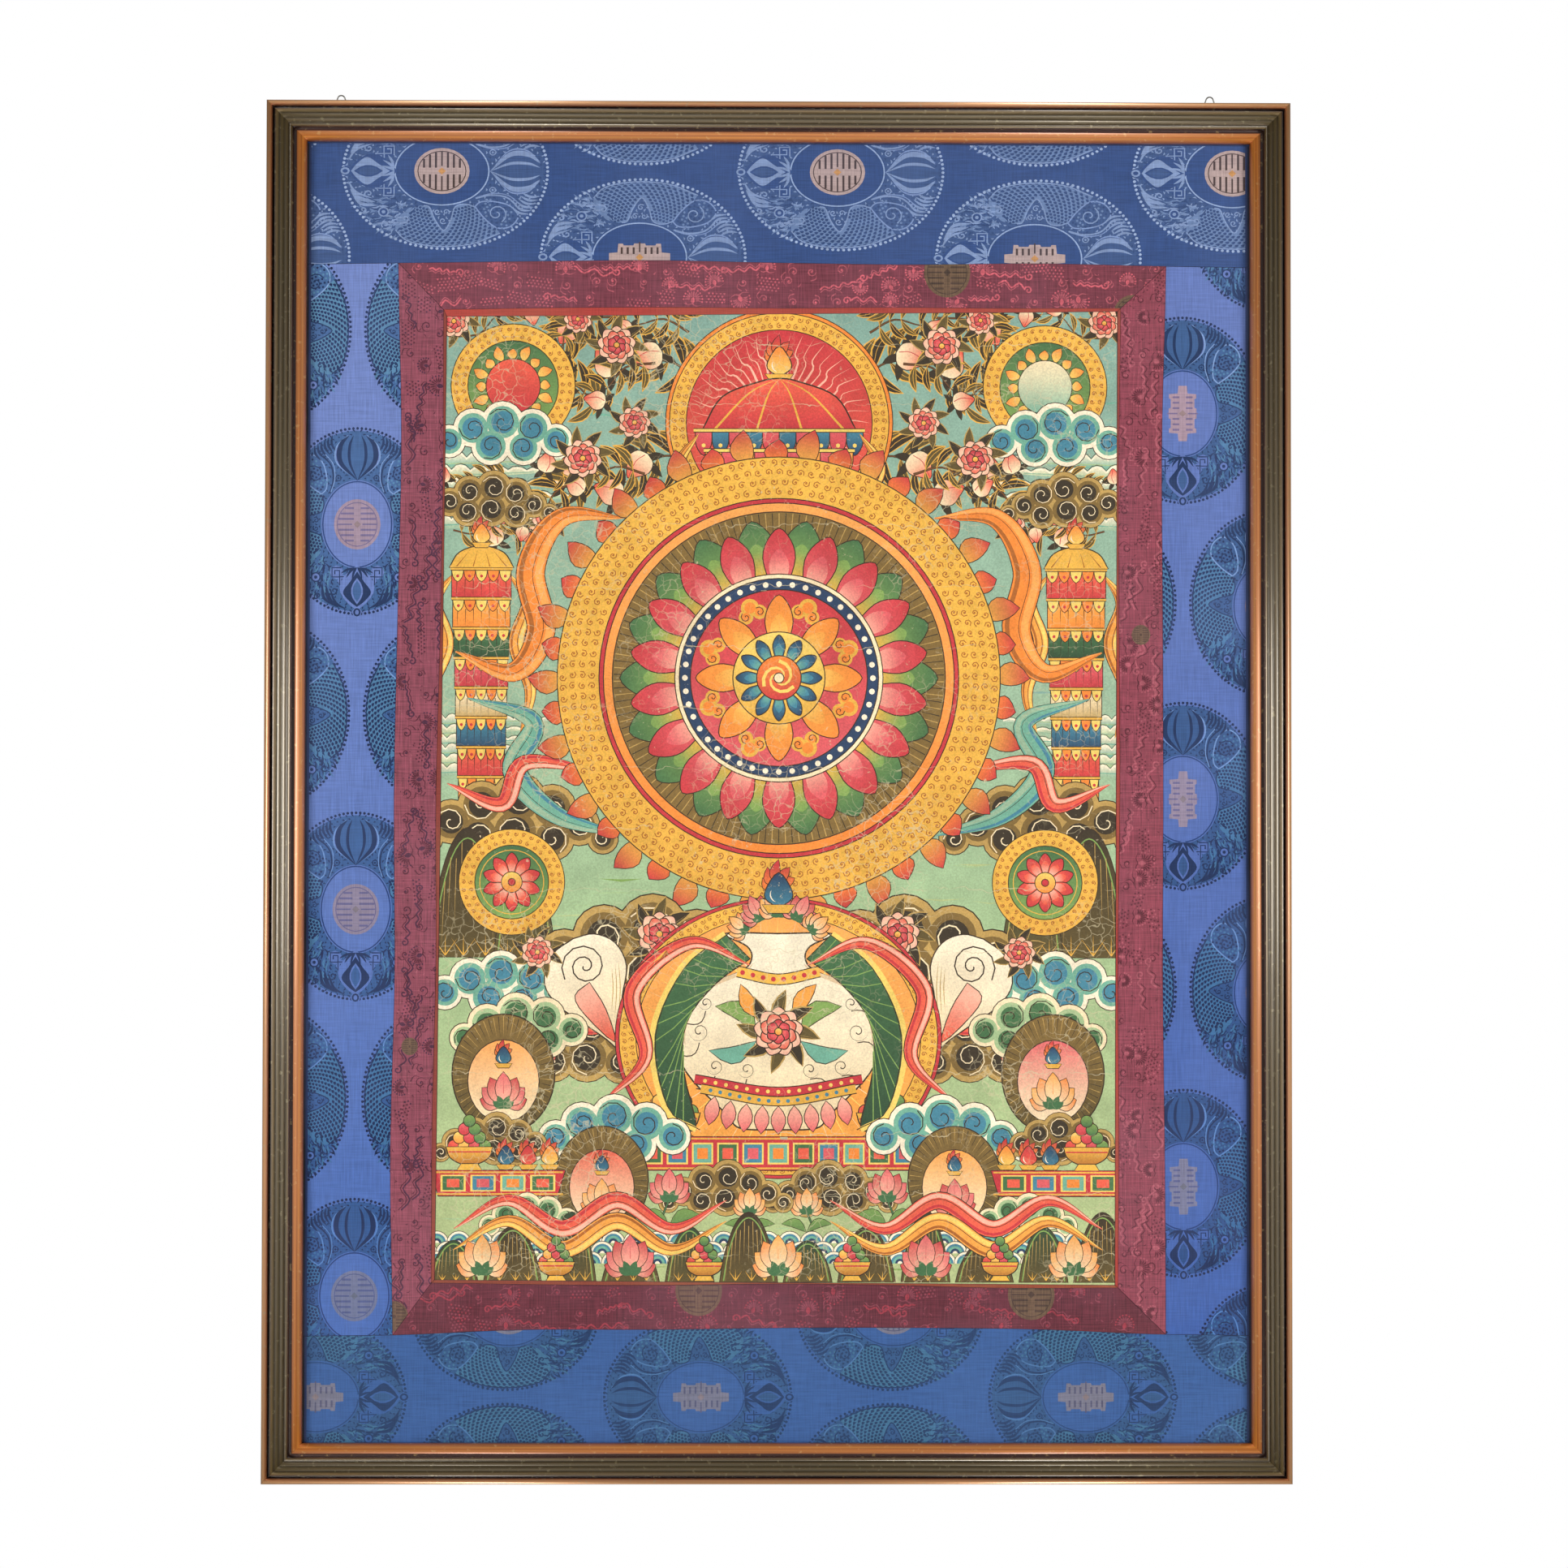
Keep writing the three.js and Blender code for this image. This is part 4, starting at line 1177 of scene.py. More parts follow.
def spray(reach, strokes=11):
    """A lotus of fanned strokes with dotted ends over a wavy root."""
    made = Drawing()
    for angle in np.linspace(-88, 88, strokes):
        direction = np.array([math.sin(math.radians(angle)), math.cos(math.radians(angle))])
        tip = direction * reach * (1.0 - 0.2 * abs(angle) / 88)
        made.line(curve([direction * reach * 0.3, tip * 0.7 + (0, 0.8), tip], 3), 1.2, "figure", "leaf")
        made.fill(oval(tip * 1.14, 0.8, 5), "second")
    made.fill(leaf((0, -0.3 * reach), (0, 0.4 * reach), 0.42 * reach), "second")
    made.line(curve([(-reach, -0.25 * reach), (-0.4 * reach, -0.45 * reach), (0, -0.3 * reach),
        (0.4 * reach, -0.45 * reach), (reach, -0.25 * reach)], 3), 1.0, "figure", "leaf")
    return made


def cloud_line(length, humps):
    """A wavy cloud edge of two lines that ends in a curl."""
    x = np.linspace(0, length, humps * 2 + 1)
    z = np.where(np.arange(len(x)) % 2 == 0, 0.0, length / humps * 0.36) + rng.uniform(-0.8, 0.8, len(x))
    made = Drawing()
    wave = curve(np.stack([x - length / 2, z], 1), 3)
    made.line(wave, 1.3, "second")
    made.line(wave[:-3] - (0, 2.2), 0.8, "figure")
    made.line(spiral((length / 2 + 2.6, z[-1]), 3.4, 270, 1.2, 9), 1.2, "second")
    return made


def hook(reach):
    """An angular hook round a dot, like a bent reed."""
    made = Drawing()
    made.line(spiral((0, 0), reach, 150, -1.3, 9), 1.1, "figure", "leaf")
    made.line(curve([(reach * 0.9, -reach * 0.2), (reach * 1.2, reach), (reach * 0.3, reach * 1.7)], 3),
        1.1, "figure", "head")
    made.fill(oval((0, 0), 0.9, 5), "second")
    return made


def scales(columns, rows):
    """A patch of small scales."""
    made = Drawing()
    for row in range(rows):
        for column in range(columns):
            x, z = (column + (row % 2) / 2 - columns / 2) * 3.0, (row - rows / 2) * 2.3
            made.fill(leaf((x - 0.9, z), (x + 0.9, z), 1.6, 0.3, 3), "figure" if rng.random() < 0.7
                else "second")
    return made


def scatter_scrolls(start, end, width, step, share):
    """Cloud scrolls spread along a strip of the border, from its start to its end in millimetres. Flecks
    of the figure's thread fill the ground between them."""
    made = Drawing()
    start, end = np.array(start, float), np.array(end, float)
    length = np.hypot(*(end - start))
    along = (end - start) / length
    across = np.array([-along[1], along[0]])
    turn = math.degrees(math.atan2(along[1], along[0]))
    for _ in range(int(length * width / 34)):
        at = start + along * rng.uniform(0, length) + across * rng.uniform(-0.62, 0.62) * width
        run = (along * rng.uniform(-1, 1) + across * rng.uniform(-1, 1)) * 1.7
        made.fill(leaf(at - run, at + run, 0.9, 0.2, 2), "fleck" if rng.random() < 0.6 else "figure")
    for i, s in enumerate(np.arange(step / 2, length, step)):
        for lane in (-0.36, 0.0, 0.34):
            if rng.random() > share:
                continue
            at = start + along * (s + rng.uniform(-4, 4)) + across * width * (lane + rng.uniform(-0.08,
                0.08))
            kind = rng.integers(0, 5)
            motif = (spray(rng.uniform(6, 9)), cloud_line(rng.uniform(18, 34), int(rng.integers(2, 5))),
                hook(rng.uniform(3.2, 5.0)), hook(rng.uniform(2.4, 4.0)), scales(int(rng.integers(4, 8)),
                int(rng.integers(3, 6))))[kind]
            made.lay(motif, at, -turn + (180 if rng.random() < 0.4 else 0) + rng.uniform(-20, 20),
                flip=bool(rng.random() < 0.5))
    return made


# %% Lay out and cut the border
OLIVE = {"roundel": "olive", "lattice": "dark", "heart": "dark"}
wine_silk = cloth_material("figured_silk_wine_red", contrast=0.4, sheen=0.08, fade="#a9788a", faded=0.08,
    warp=1.2, thread=0.9)
wine_back = cloth_material("wine_brocade_back", contrast=0.22, fade="#7d5a64")
COMMON = {"olive": ("#6b5440", 0.5), "dark": ("#4c3a30", 0.2), "pale": ("#b08a64", 0.6)}
BORDER = {"top": ((from_photo(500, 347), from_photo(1440, 345)), 19, 0.9, {"ground": ("#773744", 0.4),
    "figure": ("#b05863", 0.8), "second": ("#cb5f6a", 0.8), "fleck": ("#763442", 0.3), **COMMON}),
    "right": ((from_photo(1412, 330), from_photo(1404, 1630)), 15, 0.85, {"ground": ("#8c404e", 0.4),
    "figure": ("#5f2330", 0.3), "second": ("#a85662", 0.4), "fleck": ("#954c58", 0.5), **COMMON}),
    "bottom": ((from_photo(490, 1615), from_photo(1430, 1612)), 19, 0.8, {"ground": ("#652935", 0.4),
    "figure": ("#89414e", 0.6), "second": ("#9d3946", 0.6), "fleck": ("#5d2631", 0.3), **COMMON}),
    "left": ((from_photo(515, 1640), from_photo(523, 330)), 15, 0.85, {"ground": ("#8d4756", 0.4),
    "figure": ("#582232", 0.3), "second": ("#4d263d", 0.4), "fleck": ("#9a5661", 0.5), **COMMON}),}
STAMPS = {"top": ((1168, 330, 1.0), (1398, 384, 0.85)), "bottom": ((862, 1590, 1.0), (1272, 1595, 1.0)),
    "right": ((1408, 780, 0.4),), "left": ((505, 1290, 0.35), (487, 1622, 0.6))}
for side, ((start, end), step, share, dyes) in BORDER.items():
    drawing = scatter_scrolls(start, end, 34, step, share)
    for px, py, size in STAMPS[side]:
        drawing.lay(roundel(), from_photo(px, py), size=size, dyes=OLIVE)
    cut_cloth("brocade_maroon_" + side, "maroon_" + side, drawing, dyes, 1.2, "#6a4450",
        [wine_silk, wine_back])

red_silk = cloth_material("plain_red_silk_edging", contrast=0.22, fade="#a0624c", faded=0.25)
EDGING = {"top": ("#b43c36", "#a34338"), "right": ("#94443a", "#ad352f"), "bottom": ("#8a4030", "#96482f"),
    "left": ("#84382f", "#8e3f35")}
for side, (start_dye, end_dye) in EDGING.items():
    outline = front_outline("edging_" + side)
    ends = ((-260, 0), (260, 0)) if side in ("top", "bottom") else ((0, -168), (0, -920))
    drawing = Drawing()
    drawing.fill(outline + (outline - outline.mean(0)) * 0.02, "start", "end", ends)
    dyes = {"ground": (start_dye, 0.4), "start": (start_dye, 0.4), "end": (end_dye, 0.4)}
    cut_cloth("silk_edging_" + side, "edging_" + side, drawing, dyes, 1.8, "#7c4038",
        [red_silk, wine_back], declared=False)


# %% [markdown]
# ## The painting
#
# The painted cotton carries a generic ornamental design: a lotus wheel in a gold scrollwork ring, with
# clouds, fruit sprays, ribbons, hills, waves, jewels and a vase, which painters of this kind share as
# common stock. It is built like the real thing: flat colour first, then a second tone shaded in, then a
# dark ink outline. Each motif below is drawn once round its own middle and laid into the picture several
# times.

# %% Small painted motifs
LINE = 0.7                        # the usual width of an inked edge
ROSY, GOLDEN = ("rose", "crimson", "pink"), ("saffron", "orange", "cream")
CORAL_SCARF, YELLOW_SCARF = ("coral", "pink", "crimson"), ("saffron", "lemon", "rust")
BOTH_SIDES = ((1, False), (-1, True))


def spoke(angle, *reaches):
    """Points on a line from the middle, at an angle clockwise from straight up."""
    angle = math.radians(angle)
    return np.array([(reach * math.sin(angle), reach * math.cos(angle)) for reach in reaches])


def disc(made, radius, dye, centre=(0, 0), ink=LINE, steps=40, to=None):
    """A painted disc with an inked edge, shaded from its top to its foot."""
    centre = np.array(centre, float)
    if ink:
        made.fill(oval(centre, radius + ink / 2, steps), "ink")
    axis = [centre + (0, radius), centre - (0, radius)]
    made.fill(oval(centre, radius - ink / 2, steps), dye, to, axis)


def curls(made, inner, outer, pitch, dye, reach=2.2, spread=360):
    """Tiny gold-work curls in rings, each wound the other way from its neighbour."""
    for row, radius in enumerate(np.arange(inner + pitch / 2, outer - pitch / 3, pitch * 0.92)):
        count = max(3, int(2 * math.pi * radius * spread / 360 / pitch))
        for i in range(count):
            angle = (i + 0.5 * (row % 2)) * spread / count
            at = spoke(angle, radius)[0]
            made.line(spiral(at, reach, angle + 60 * row, 1.25 if (i + row) % 2 else -1.25, 7), 0.7, dye)
            made.fill(oval(at, 0.6, 5), "rust")


def petals(made, count, inner, outer, width, dyes, tip=0.5, shift=0.0):
    """A ring of lotus petals, each shaded from its base to its tip, with a paler heart."""
    for i in range(count):
        angle = 360 * (i + shift) / count
        base, belly, shoulder, point = (spoke(angle, r)[0] for r in (inner, inner + (outer - inner) * 0.45,
            inner + (outer - inner) * 0.78, outer))
        side = spoke(angle + 90, 1)[0]
        shape = [base + side * width * 0.30, belly + side * width * 0.5, shoulder + side * width * 0.36,
            point, shoulder - side * width * 0.36, belly - side * width * 0.5, base - side * width * 0.30]
        edge = curve(shape, 3)
        made.outlined(edge, dyes[0], LINE, dyes[1], [base, point])
        heart = base + (edge - base) * 0.62
        made.fill(heart, dyes[2], dyes[0], [base, base + (point - base) * tip])


def leaf_spray(reach, count=7, fruit=2):
    """A fruiting branch: dark leaves with gold edges on a brown stem, and blushing fruit at its end."""
    made = Drawing()
    stem = curve([(0, 0), (reach * 0.3, reach * 0.12), (reach * 0.65, reach * 0.02), (reach, reach * 0.2)],
        5)
    made.edged_line(stem, (2.2, 1.2), "brown", "tail")
    for i in range(count):
        at = stem[int((i + 1) * (len(stem) - 1) / (count + 0.5))]
        for side in (1, -1):
            direction = spoke(90 - side * (58 - 5 * (i % 3)), 1)[0]
            length = reach * (0.34 - 0.02 * i) * (1 if side > 0 else 0.86)
            tip = at + direction * length
            made.fill(leaf(at, tip + direction * 1.0, length * 0.30, 0.12 * side), "gold")
            made.fill(leaf(at + direction * 0.6, tip, length * 0.23, 0.12 * side),
                "dark" if i % 2 else "olive")
            made.line(leaf(at, tip, 0.6, 0.12 * side)[:6], 0.4, "gold")
    for i in range(fruit):
        at = stem[-1 - 4 * i] + np.array([2.0, 4.0 - 9.0 * (i % 2)])
        fruit_body(made, at, reach * 0.105, 20 - 70 * i)
    return made


def fruit_body(made, at, radius, turn):
    """A round fruit with a pointed tip and a cleft, pale below and blushing towards the tip."""
    shape = curve([(0, -1), (0.75, -0.72), (1.0, 0.05), (0.6, 0.72), (0, 1.35), (-0.6, 0.72), (-1.0, 0.05),
        (-0.75, -0.72), (0, -1)], 3)[:-1] * radius
    fruit = Drawing()
    for angle in (100, 150, 210, 260):
        fruit.fill(leaf((0, -radius * 0.6), spoke(angle, radius * 2.0)[0], radius * 0.62), "dark")
    fruit.outlined(shape, "cream", LINE, "coral", [(0, -radius * 0.7), (0, radius * 1.1)])
    fruit.line(curve([(0, radius * 1.2), (-radius * 0.32, 0.2), (-radius * 0.1, -radius * 0.8)], 3), 0.6,
        "crimson")
    made.lay(fruit, at, turn)


def curly_cloud(lobes, pale, middle, deep, curl="ink"):
    """A bank of round lobes in three tones, each lobe with its own curl."""
    made = Drawing()
    for dye, grow, scale in (("ink", 0.6, 1.0), (pale, 0.0, 1.0), (middle, 0.0, 0.78), (deep, 0.0, 0.55)):
        for x, z, radius in lobes:
            made.fill(oval((x, z), radius * scale + grow, 18), dye)
    for i, (x, z, radius) in enumerate(lobes):
        made.line(spiral((x, z), radius * 0.72, 30 * i, 1.3 if i % 2 else -1.3, 10), 0.7, curl)
    return made


def cloud_bank(width, layers, tones):
    """Long level clouds with scalloped tops, one in front of the other."""
    made = Drawing()
    for layer in range(layers):
        z, reach = -layer * 9.5, width * (1 - 0.13 * ((layer * 2) % 3))
        humps = max(3, int(reach / 13))
        x = np.linspace(0, reach, humps * 4 + 1)
        top = z + 5.2 * np.abs(np.sin(np.linspace(0, math.pi * humps, len(x)))) ** 0.7 * np.linspace(1,
            0.35, len(x))
        edge = np.stack([x, top], 1)
        tone = tones[layer % len(tones)]
        made.fill(np.vstack([edge, [(reach, z - 1.5), (0, z - 8.5)]]), "white", tone,
            [(0, z + 4), (0, z - 6)])
        made.line(edge + (0, 0.7), 0.6, "ink")
        made.line(edge - (0, 0.9), 1.4, "white")
        made.line([(0, z - 5), (reach * 0.9, z - 1.2)], 0.9, tones[(layer + 1) % len(tones)])
    return made


def hill(width, height, tone="dark"):
    """A steep round hill, dark at its crest, combed with fine strokes down its face."""
    made = Drawing()
    half = width / 2
    ridge = curve([(-half, 0), (-half * 0.82, height * 0.42), (-half * 0.45, height * 0.84), (0, height),
        (half * 0.45, height * 0.84), (half * 0.82, height * 0.42), (half, 0)], 4)
    made.outlined(ridge, tone, LINE, "olive", [(0, height), (0, 0)])
    made.line(ridge * (0.86, 0.9) + (0, height * 0.02), 1.0, "moss")
    for i, x in enumerate(np.linspace(-0.7, 0.7, 11)):
        top = height * (0.92 - 0.75 * x * x) - 2 - (i % 2) * height * 0.08
        made.line([(x * half, top), (x * half * 1.1, top - height * 0.3),
            (x * half * 1.15, top - height * 0.5)], 0.55, "sand", "tail")
    for x in (-0.45, 0.1, 0.55):
        for tilt in (-35, 0, 35):
            made.line([(x * half, 1.5), np.array((x * half, 1.5)) + spoke(tilt, height * 0.16)[0]], 0.9,
                "gold", "tail")
    return made


def waves(width, rows, pitch=17.0):
    """Rows of round waves, each of nested bands with a white foam edge."""
    made = Drawing()
    for row in range(rows):
        z = -row * pitch * 0.46
        for x in np.arange(-width / 2 + (row % 2) * pitch / 2, width / 2 + pitch / 2, pitch):
            for radius, dye in ((0.56, "ink"), (0.53, "white"), (0.43, "blue"), (0.33, "seafoam"),
                    (0.22, "navy"), (0.11, "white")):
                made.fill(arc((x, z), pitch * radius, -90, 90, 10), dye)
    return made


def jewel(size, dye, shade):
    """A flaming jewel: a drop in a small cup, with tongues of flame round it."""
    made = Drawing()
    for angle, reach in ((-48, 1.25), (48, 1.25), (-24, 1.6), (24, 1.6), (0, 1.9)):
        tongue = leaf(spoke(angle, size * 0.3)[0], spoke(angle, size * reach)[0], size * 0.62, 0.14)
        made.outlined(tongue, "orange", 0.5, "crimson", [(0, 0), (0, size * 1.6)])
    drop = curve([(0, -0.9), (0.78, -0.35), (0.66, 0.35), (0, 1.15), (-0.66, 0.35), (-0.78, -0.35),
        (0, -0.9)], 3)
    made.outlined(drop[:-1] * size, dye, LINE, shade, [(0, -size), (0, size)])
    made.line(arc((0, -size * 0.1), size * 0.48, 200, 300, 5), 0.8, "white", "leaf")
    cup = np.array([(-0.95, -0.7), (0.95, -0.7), (0.6, -1.2), (-0.6, -1.2)]) * size
    made.outlined(cup, "gold", 0.6)
    return made


def lotus(size, dyes=ROSY, stem=0.0):
    """A lotus seen from the side, with a green collar and perhaps a stem."""
    made = Drawing()
    if stem:
        made.edged_line(curve([(0, 0), (size * 0.3, -stem * 0.5), (0, -stem)], 5), (1.8, 1.0), "green")
        for side in (1, -1):
            made.outlined(leaf((0, -stem * 0.6), (side * size * 1.3, -stem * 0.35), size * 0.5, 0.2 * side),
                "green", 0.5, "moss", [(0, -stem), (0, 0)])
    for angle in (-82, 82, -55, 55, -28, 28, 0):
        tip = spoke(angle, size * (1.15 - abs(angle) / 300))[0] + (0, size * 0.1)
        petal = leaf((tip[0] * 0.1, 0), tip, size * 0.62, 0.0, 6)
        made.outlined(petal, dyes[2], 0.55, dyes[1] if abs(angle) % 55 else dyes[0], [(0, 0), tip])
        made.line([(tip[0] * 0.35, tip[1] * 0.35), tip * 0.85], 0.45, dyes[1], "tail")
    for angle in (-70, 70, -30, 30):
        made.fill(leaf((0, -size * 0.12), spoke(angle, size * 0.42)[0], size * 0.26), "green")
    return made


def ribbon(points, width, dyes, side=1):
    """A silk scarf through points, mirrored where side is -1: an inked band with a light edge and a fold."""
    made = Drawing()
    dye, light, shade = dyes
    spine = curve(np.array(points, float) * (side, 1), 9)
    made.edged_line(spine, (width + 1.5, width), dye, "leaf")
    ahead = np.gradient(spine, axis=0)
    ahead /= np.hypot(*ahead.T)[:, None]
    across = np.stack([-ahead[:, 1], ahead[:, 0]], 1)
    swell = np.sin(np.pi * np.linspace(0, 1, len(spine)))[:, None] ** 0.8
    made.line(spine + across * width * 0.30 * swell, width * 0.26, light, "leaf")
    made.line(spine - across * width * 0.34 * swell, width * 0.16, shade, "leaf")
    made.line(spine + across * width * 0.08 * swell, 0.5, "ink", "leaf")
    return made


# %% [markdown]
# ### The great wheel, the vase and what goes with them
#
# The large motifs are built from the small ones, from the back to the front, as a painter builds them. Rings
# come first, then petals laid round them, then the fine gold work and the pearls. What is the same on both
# sides, such as the vase and the parasol, is drawn for one side and repeated with its x reversed.

# %% Large painted motifs
def lotus_wheel():
    """The picture's middle: a wheel of lotus petals inside a ring of gold scrollwork."""
    made = Drawing()
    for i in range(44):
        base, tip = spoke(i * 360 / 44, 143, 169 if i % 2 else 161)
        made.outlined(leaf(base, tip, 16, 0.12, 6), "gold" if i % 2 else "orange", 0.6, "crimson",
            [base, tip])
    disc(made, 149, "amber", steps=90, to="gold")
    curls(made, 122, 149, 7.2, "rust", 2.7)
    disc(made, 121, "crimson", steps=80)
    disc(made, 118, "apricot", steps=80, to="orange")
    disc(made, 112, "bronze", steps=80)
    for i in range(150):
        made.line(spoke(i * 2.4, 111, 100, 88), 0.7, "dark" if i % 2 else "sand", "tail")
    petals(made, 18, 66, 107, 27, ("moss", "green", "gold"), shift=0.5)
    petals(made, 18, 64, 101, 22, ROSY)
    disc(made, 70, "cream", steps=60)
    disc(made, 67, "navy", steps=60)
    for i in range(44):
        disc(made, 2.0, "white", spoke(i * 360 / 44, 63.2)[0], 0.0, 8)
    disc(made, 59.5, "crimson", steps=56, to="rose")
    for i in range(8):
        at = spoke(45 * i + 22.5, 47)[0]
        for k, dye in ((1.0, "gold"), (0.62, "orange")):
            made.fill(oval(at + spoke(45 * i + 22.5, 4.0)[0], 6.2 * k, 14), dye)
            for side in (1, -1):
                made.fill(oval(at + spoke(45 * i + 22.5 + side * 100, 5.0)[0], 5.0 * k, 12), dye)
        for side in (1, -1):
            made.line(spiral(at + spoke(45 * i + 22.5 + side * 100, 5.0)[0], 3.6, 45 * i, side * 1.1, 9),
                0.6, "ink")
    petals(made, 8, 22, 56, 19, ("saffron", "orange", "lemon"))
    disc(made, 31, "lemon", steps=44, to="gold")
    petals(made, 12, 14, 29, 8.5, ("blue", "navy", "seafoam"))
    disc(made, 15, "orange", steps=30, to="crimson")
    for i in range(3):
        made.line(spiral((0, 0), 11.5, 120 * i, 0.75, 14, 0.02), 2.4, "lemon", "tail")
    disc(made, 3.4, "cream", steps=12)
    return made


def small_wheel(dyes):
    """A small flower wheel in a scrollwork ring, on a dark striped oval."""
    made = Drawing()
    disc(made, 43, "amber", steps=48, to="gold")
    curls(made, 30, 43, 6.4, "rust", 2.0)
    disc(made, 30, "green", steps=36, to="moss")
    made.line(oval((0, 0), 26, 30), 0.7, "gold", closed=True)
    petals(made, 10, 8, 24, 10.5, dyes)
    disc(made, 8.5, "lemon", steps=18, to="orange")
    disc(made, 3.0, "crimson", steps=10)
    return made


def niche(dyes, tone):
    """A bronze oval with fine radial stripes, which frames a lotus and a jewel."""
    made = Drawing()
    body = oval((0, 0), (36, 42), 40)
    made.outlined(body, "bronze", 0.9, "olive", [(0, 42), (0, -42)])
    for angle in np.arange(0, 360, 6.0):
        ends = spoke(angle, 0.62, 0.96) * (36, 42)
        made.line(ends, 0.6, "dark" if angle % 12 else "sand", "head")
    made.outlined(oval((0, -5), (25, 29), 28), tone, 0.7, "cream", [(0, 24), (0, -34)])
    made.lay(lotus(19, dyes), (0, -22))
    made.lay(jewel(6.5, "blue", "navy"), (0, 12))
    return made


def peony(size):
    """A full flower of three rings of petals on dark pointed leaves."""
    made = Drawing()
    for angle in range(10, 370, 45):
        tip = spoke(angle, size * 1.75)[0]
        made.fill(leaf((0, 0), tip * 1.04, size * 0.62, 0.1), "sand")
        made.fill(leaf((0, 0), tip, size * 0.5, 0.1), "dark" if angle % 2 else "olive")
        made.line([(0, 0), tip * 0.9], 0.5, "sand", "tail")
    petals(made, 9, size * 0.3, size * 1.05, size * 0.75, ("cream", "pink", "white"))
    petals(made, 8, size * 0.2, size * 0.8, size * 0.62, ("pink", "coral", "rose"), shift=0.5)
    petals(made, 6, size * 0.1, size * 0.52, size * 0.5, ("rose", "crimson", "coral"))
    disc(made, size * 0.16, "lemon", steps=12, to="orange")
    return made


def great_vase():
    """A white vase with a gold collar and a lotus band, draped with green brocade and a red sash."""
    made = Drawing()
    right = curve([(0, -58), (24, -57), (33, -48), (58, -22), (66, 4), (52, 30), (24, 42), (17, 50),
        (20, 58), (34, 66), (0, 66)], 5)
    body = np.vstack([right, right[-2:0:-1] * (-1, 1)])
    made.outlined(body, "white", 1.0, "parchment", [(0, 50), (0, -60)])
    for side in (1, -1):
        fold = right[18:34] * (side * 0.9, 1)
        made.line(fold, 3.0, "shell", "leaf")
        made.outlined(leaf((side * 14, 4), (side * 40, 20), 12, 0.2 * side), "moss", 0.6, "green")
        made.outlined(leaf((side * 14, -2), (side * 44, -8), 11, -0.2 * side), "seafoam", 0.6, "blue")
        made.outlined(leaf((side * 10, 12), (side * 24, 34), 10, 0.1), "saffron", 0.6, "orange")
        for x, z, reach in ((50, 4, 7), (40, -18, 6), (46, 22, 5), (20, -20, 6)):
            made.line(spiral((side * x, z), reach, 90 * side, side * 1.4, 12), 0.8, "ink", "head")
            made.line(leaf((side * x, z - reach), (side * (x + 12), z - reach - 8), 3.0, 0.2)[:6], 0.7,
                "ink")
    for z, wide, dye in ((-30, 53, "crimson"), (-36, 49, "gold")):
        band = curve([(-wide, z + 4), (0, z - 4), (wide, z + 4)], 8)
        made.edged_line(band, (6.5, 5.2), dye)
        for at in band[1:-1]:
            made.fill(oval(at, 1.3, 7), "blue" if dye == "gold" else "lemon")
    for i in np.linspace(-1, 1, 9):
        base = np.array((i * 40, -46 - 6 * (1 - i * i)))
        made.outlined(leaf(base + (0, 9), base - (i * -4, 9), 9.5), "pink", 0.6, "rose",
            [base + (0, 9), base - (0, 9)])
    made.lay(peony(15), (0, 4))
    collar = curve([(-26, 42), (0, 37), (26, 42)], 8)
    made.edged_line(collar, (7.5, 6.2), "amber")
    for at in collar[1:-1:2]:
        made.fill(oval(at, 1.6, 8), "crimson")
    for side in (1, -1):
        cloth = np.array([(side * 34, 66), (side * 62, 44), (side * 80, 2), (side * 72, -44),
            (side * 52, -58), (side * 60, -20), (side * 58, 10), (side * 40, 34), (side * 18, 50)])
        drape = curve(cloth, 4)
        made.outlined(drape, "green", 0.9, "forest", [(0, 60), (0, -60)])
        for t in np.linspace(0.05, 0.95, 13):
            outer = curve(cloth[:5], 8)[int(t * 31)]
            inner = curve(cloth[:4:-1], 8)[int(t * 23)]
            made.line([outer, (outer + inner) / 2 + (0, -2), inner], 0.6, "moss")
        made.line(curve(cloth[:5], 5), 3.4, "lemon")
        made.line(curve(cloth[:5], 5) - (side * 2.4, 0), 0.6, "ink")
        made.lay(ribbon([(18, 46), (56, 60), (92, 30), (84, -12), (110, -40)], 10, CORAL_SCARF, side))
    for i, angle in enumerate((-52, -26, 0, 26, 52)):
        made.lay(lotus(15 - abs(angle) / 13, ROSY if i % 2 else GOLDEN), spoke(angle, 26)[0] + (0, 52),
            -angle)
    made.lay(jewel(11, "blue", "navy"), (0, 92))
    return made


def brocade_table(width, depth):
    """A table edge of small painted panels between red rails."""
    made = Drawing()
    half = width / 2
    made.outlined([(-half - 6, 0), (half + 6, 0), (half, -depth), (-half, -depth)], "crimson", 0.9)
    count = int(width / 19)
    for i in range(count):
        x = -half + (i + 0.5) * width / count
        wide = width / count * 0.42
        for k, dye in ((1.0, "lemon"), (0.84, ("green", "blue", "seafoam")[i % 3]),
                (0.5, ("coral", "rose", "orange")[i % 3])):
            top, foot = -depth * (0.5 - 0.32 * k), -depth * (0.5 + 0.32 * k)
            made.fill([(x - wide * k, top), (x + wide * k, top), (x + wide * k, foot),
                (x - wide * k, foot)], dye)
    for z in (-1.6, -depth + 1.6):
        made.line([(-half - 4, z), (half + 4, z)], 1.3, "gold")
    return made


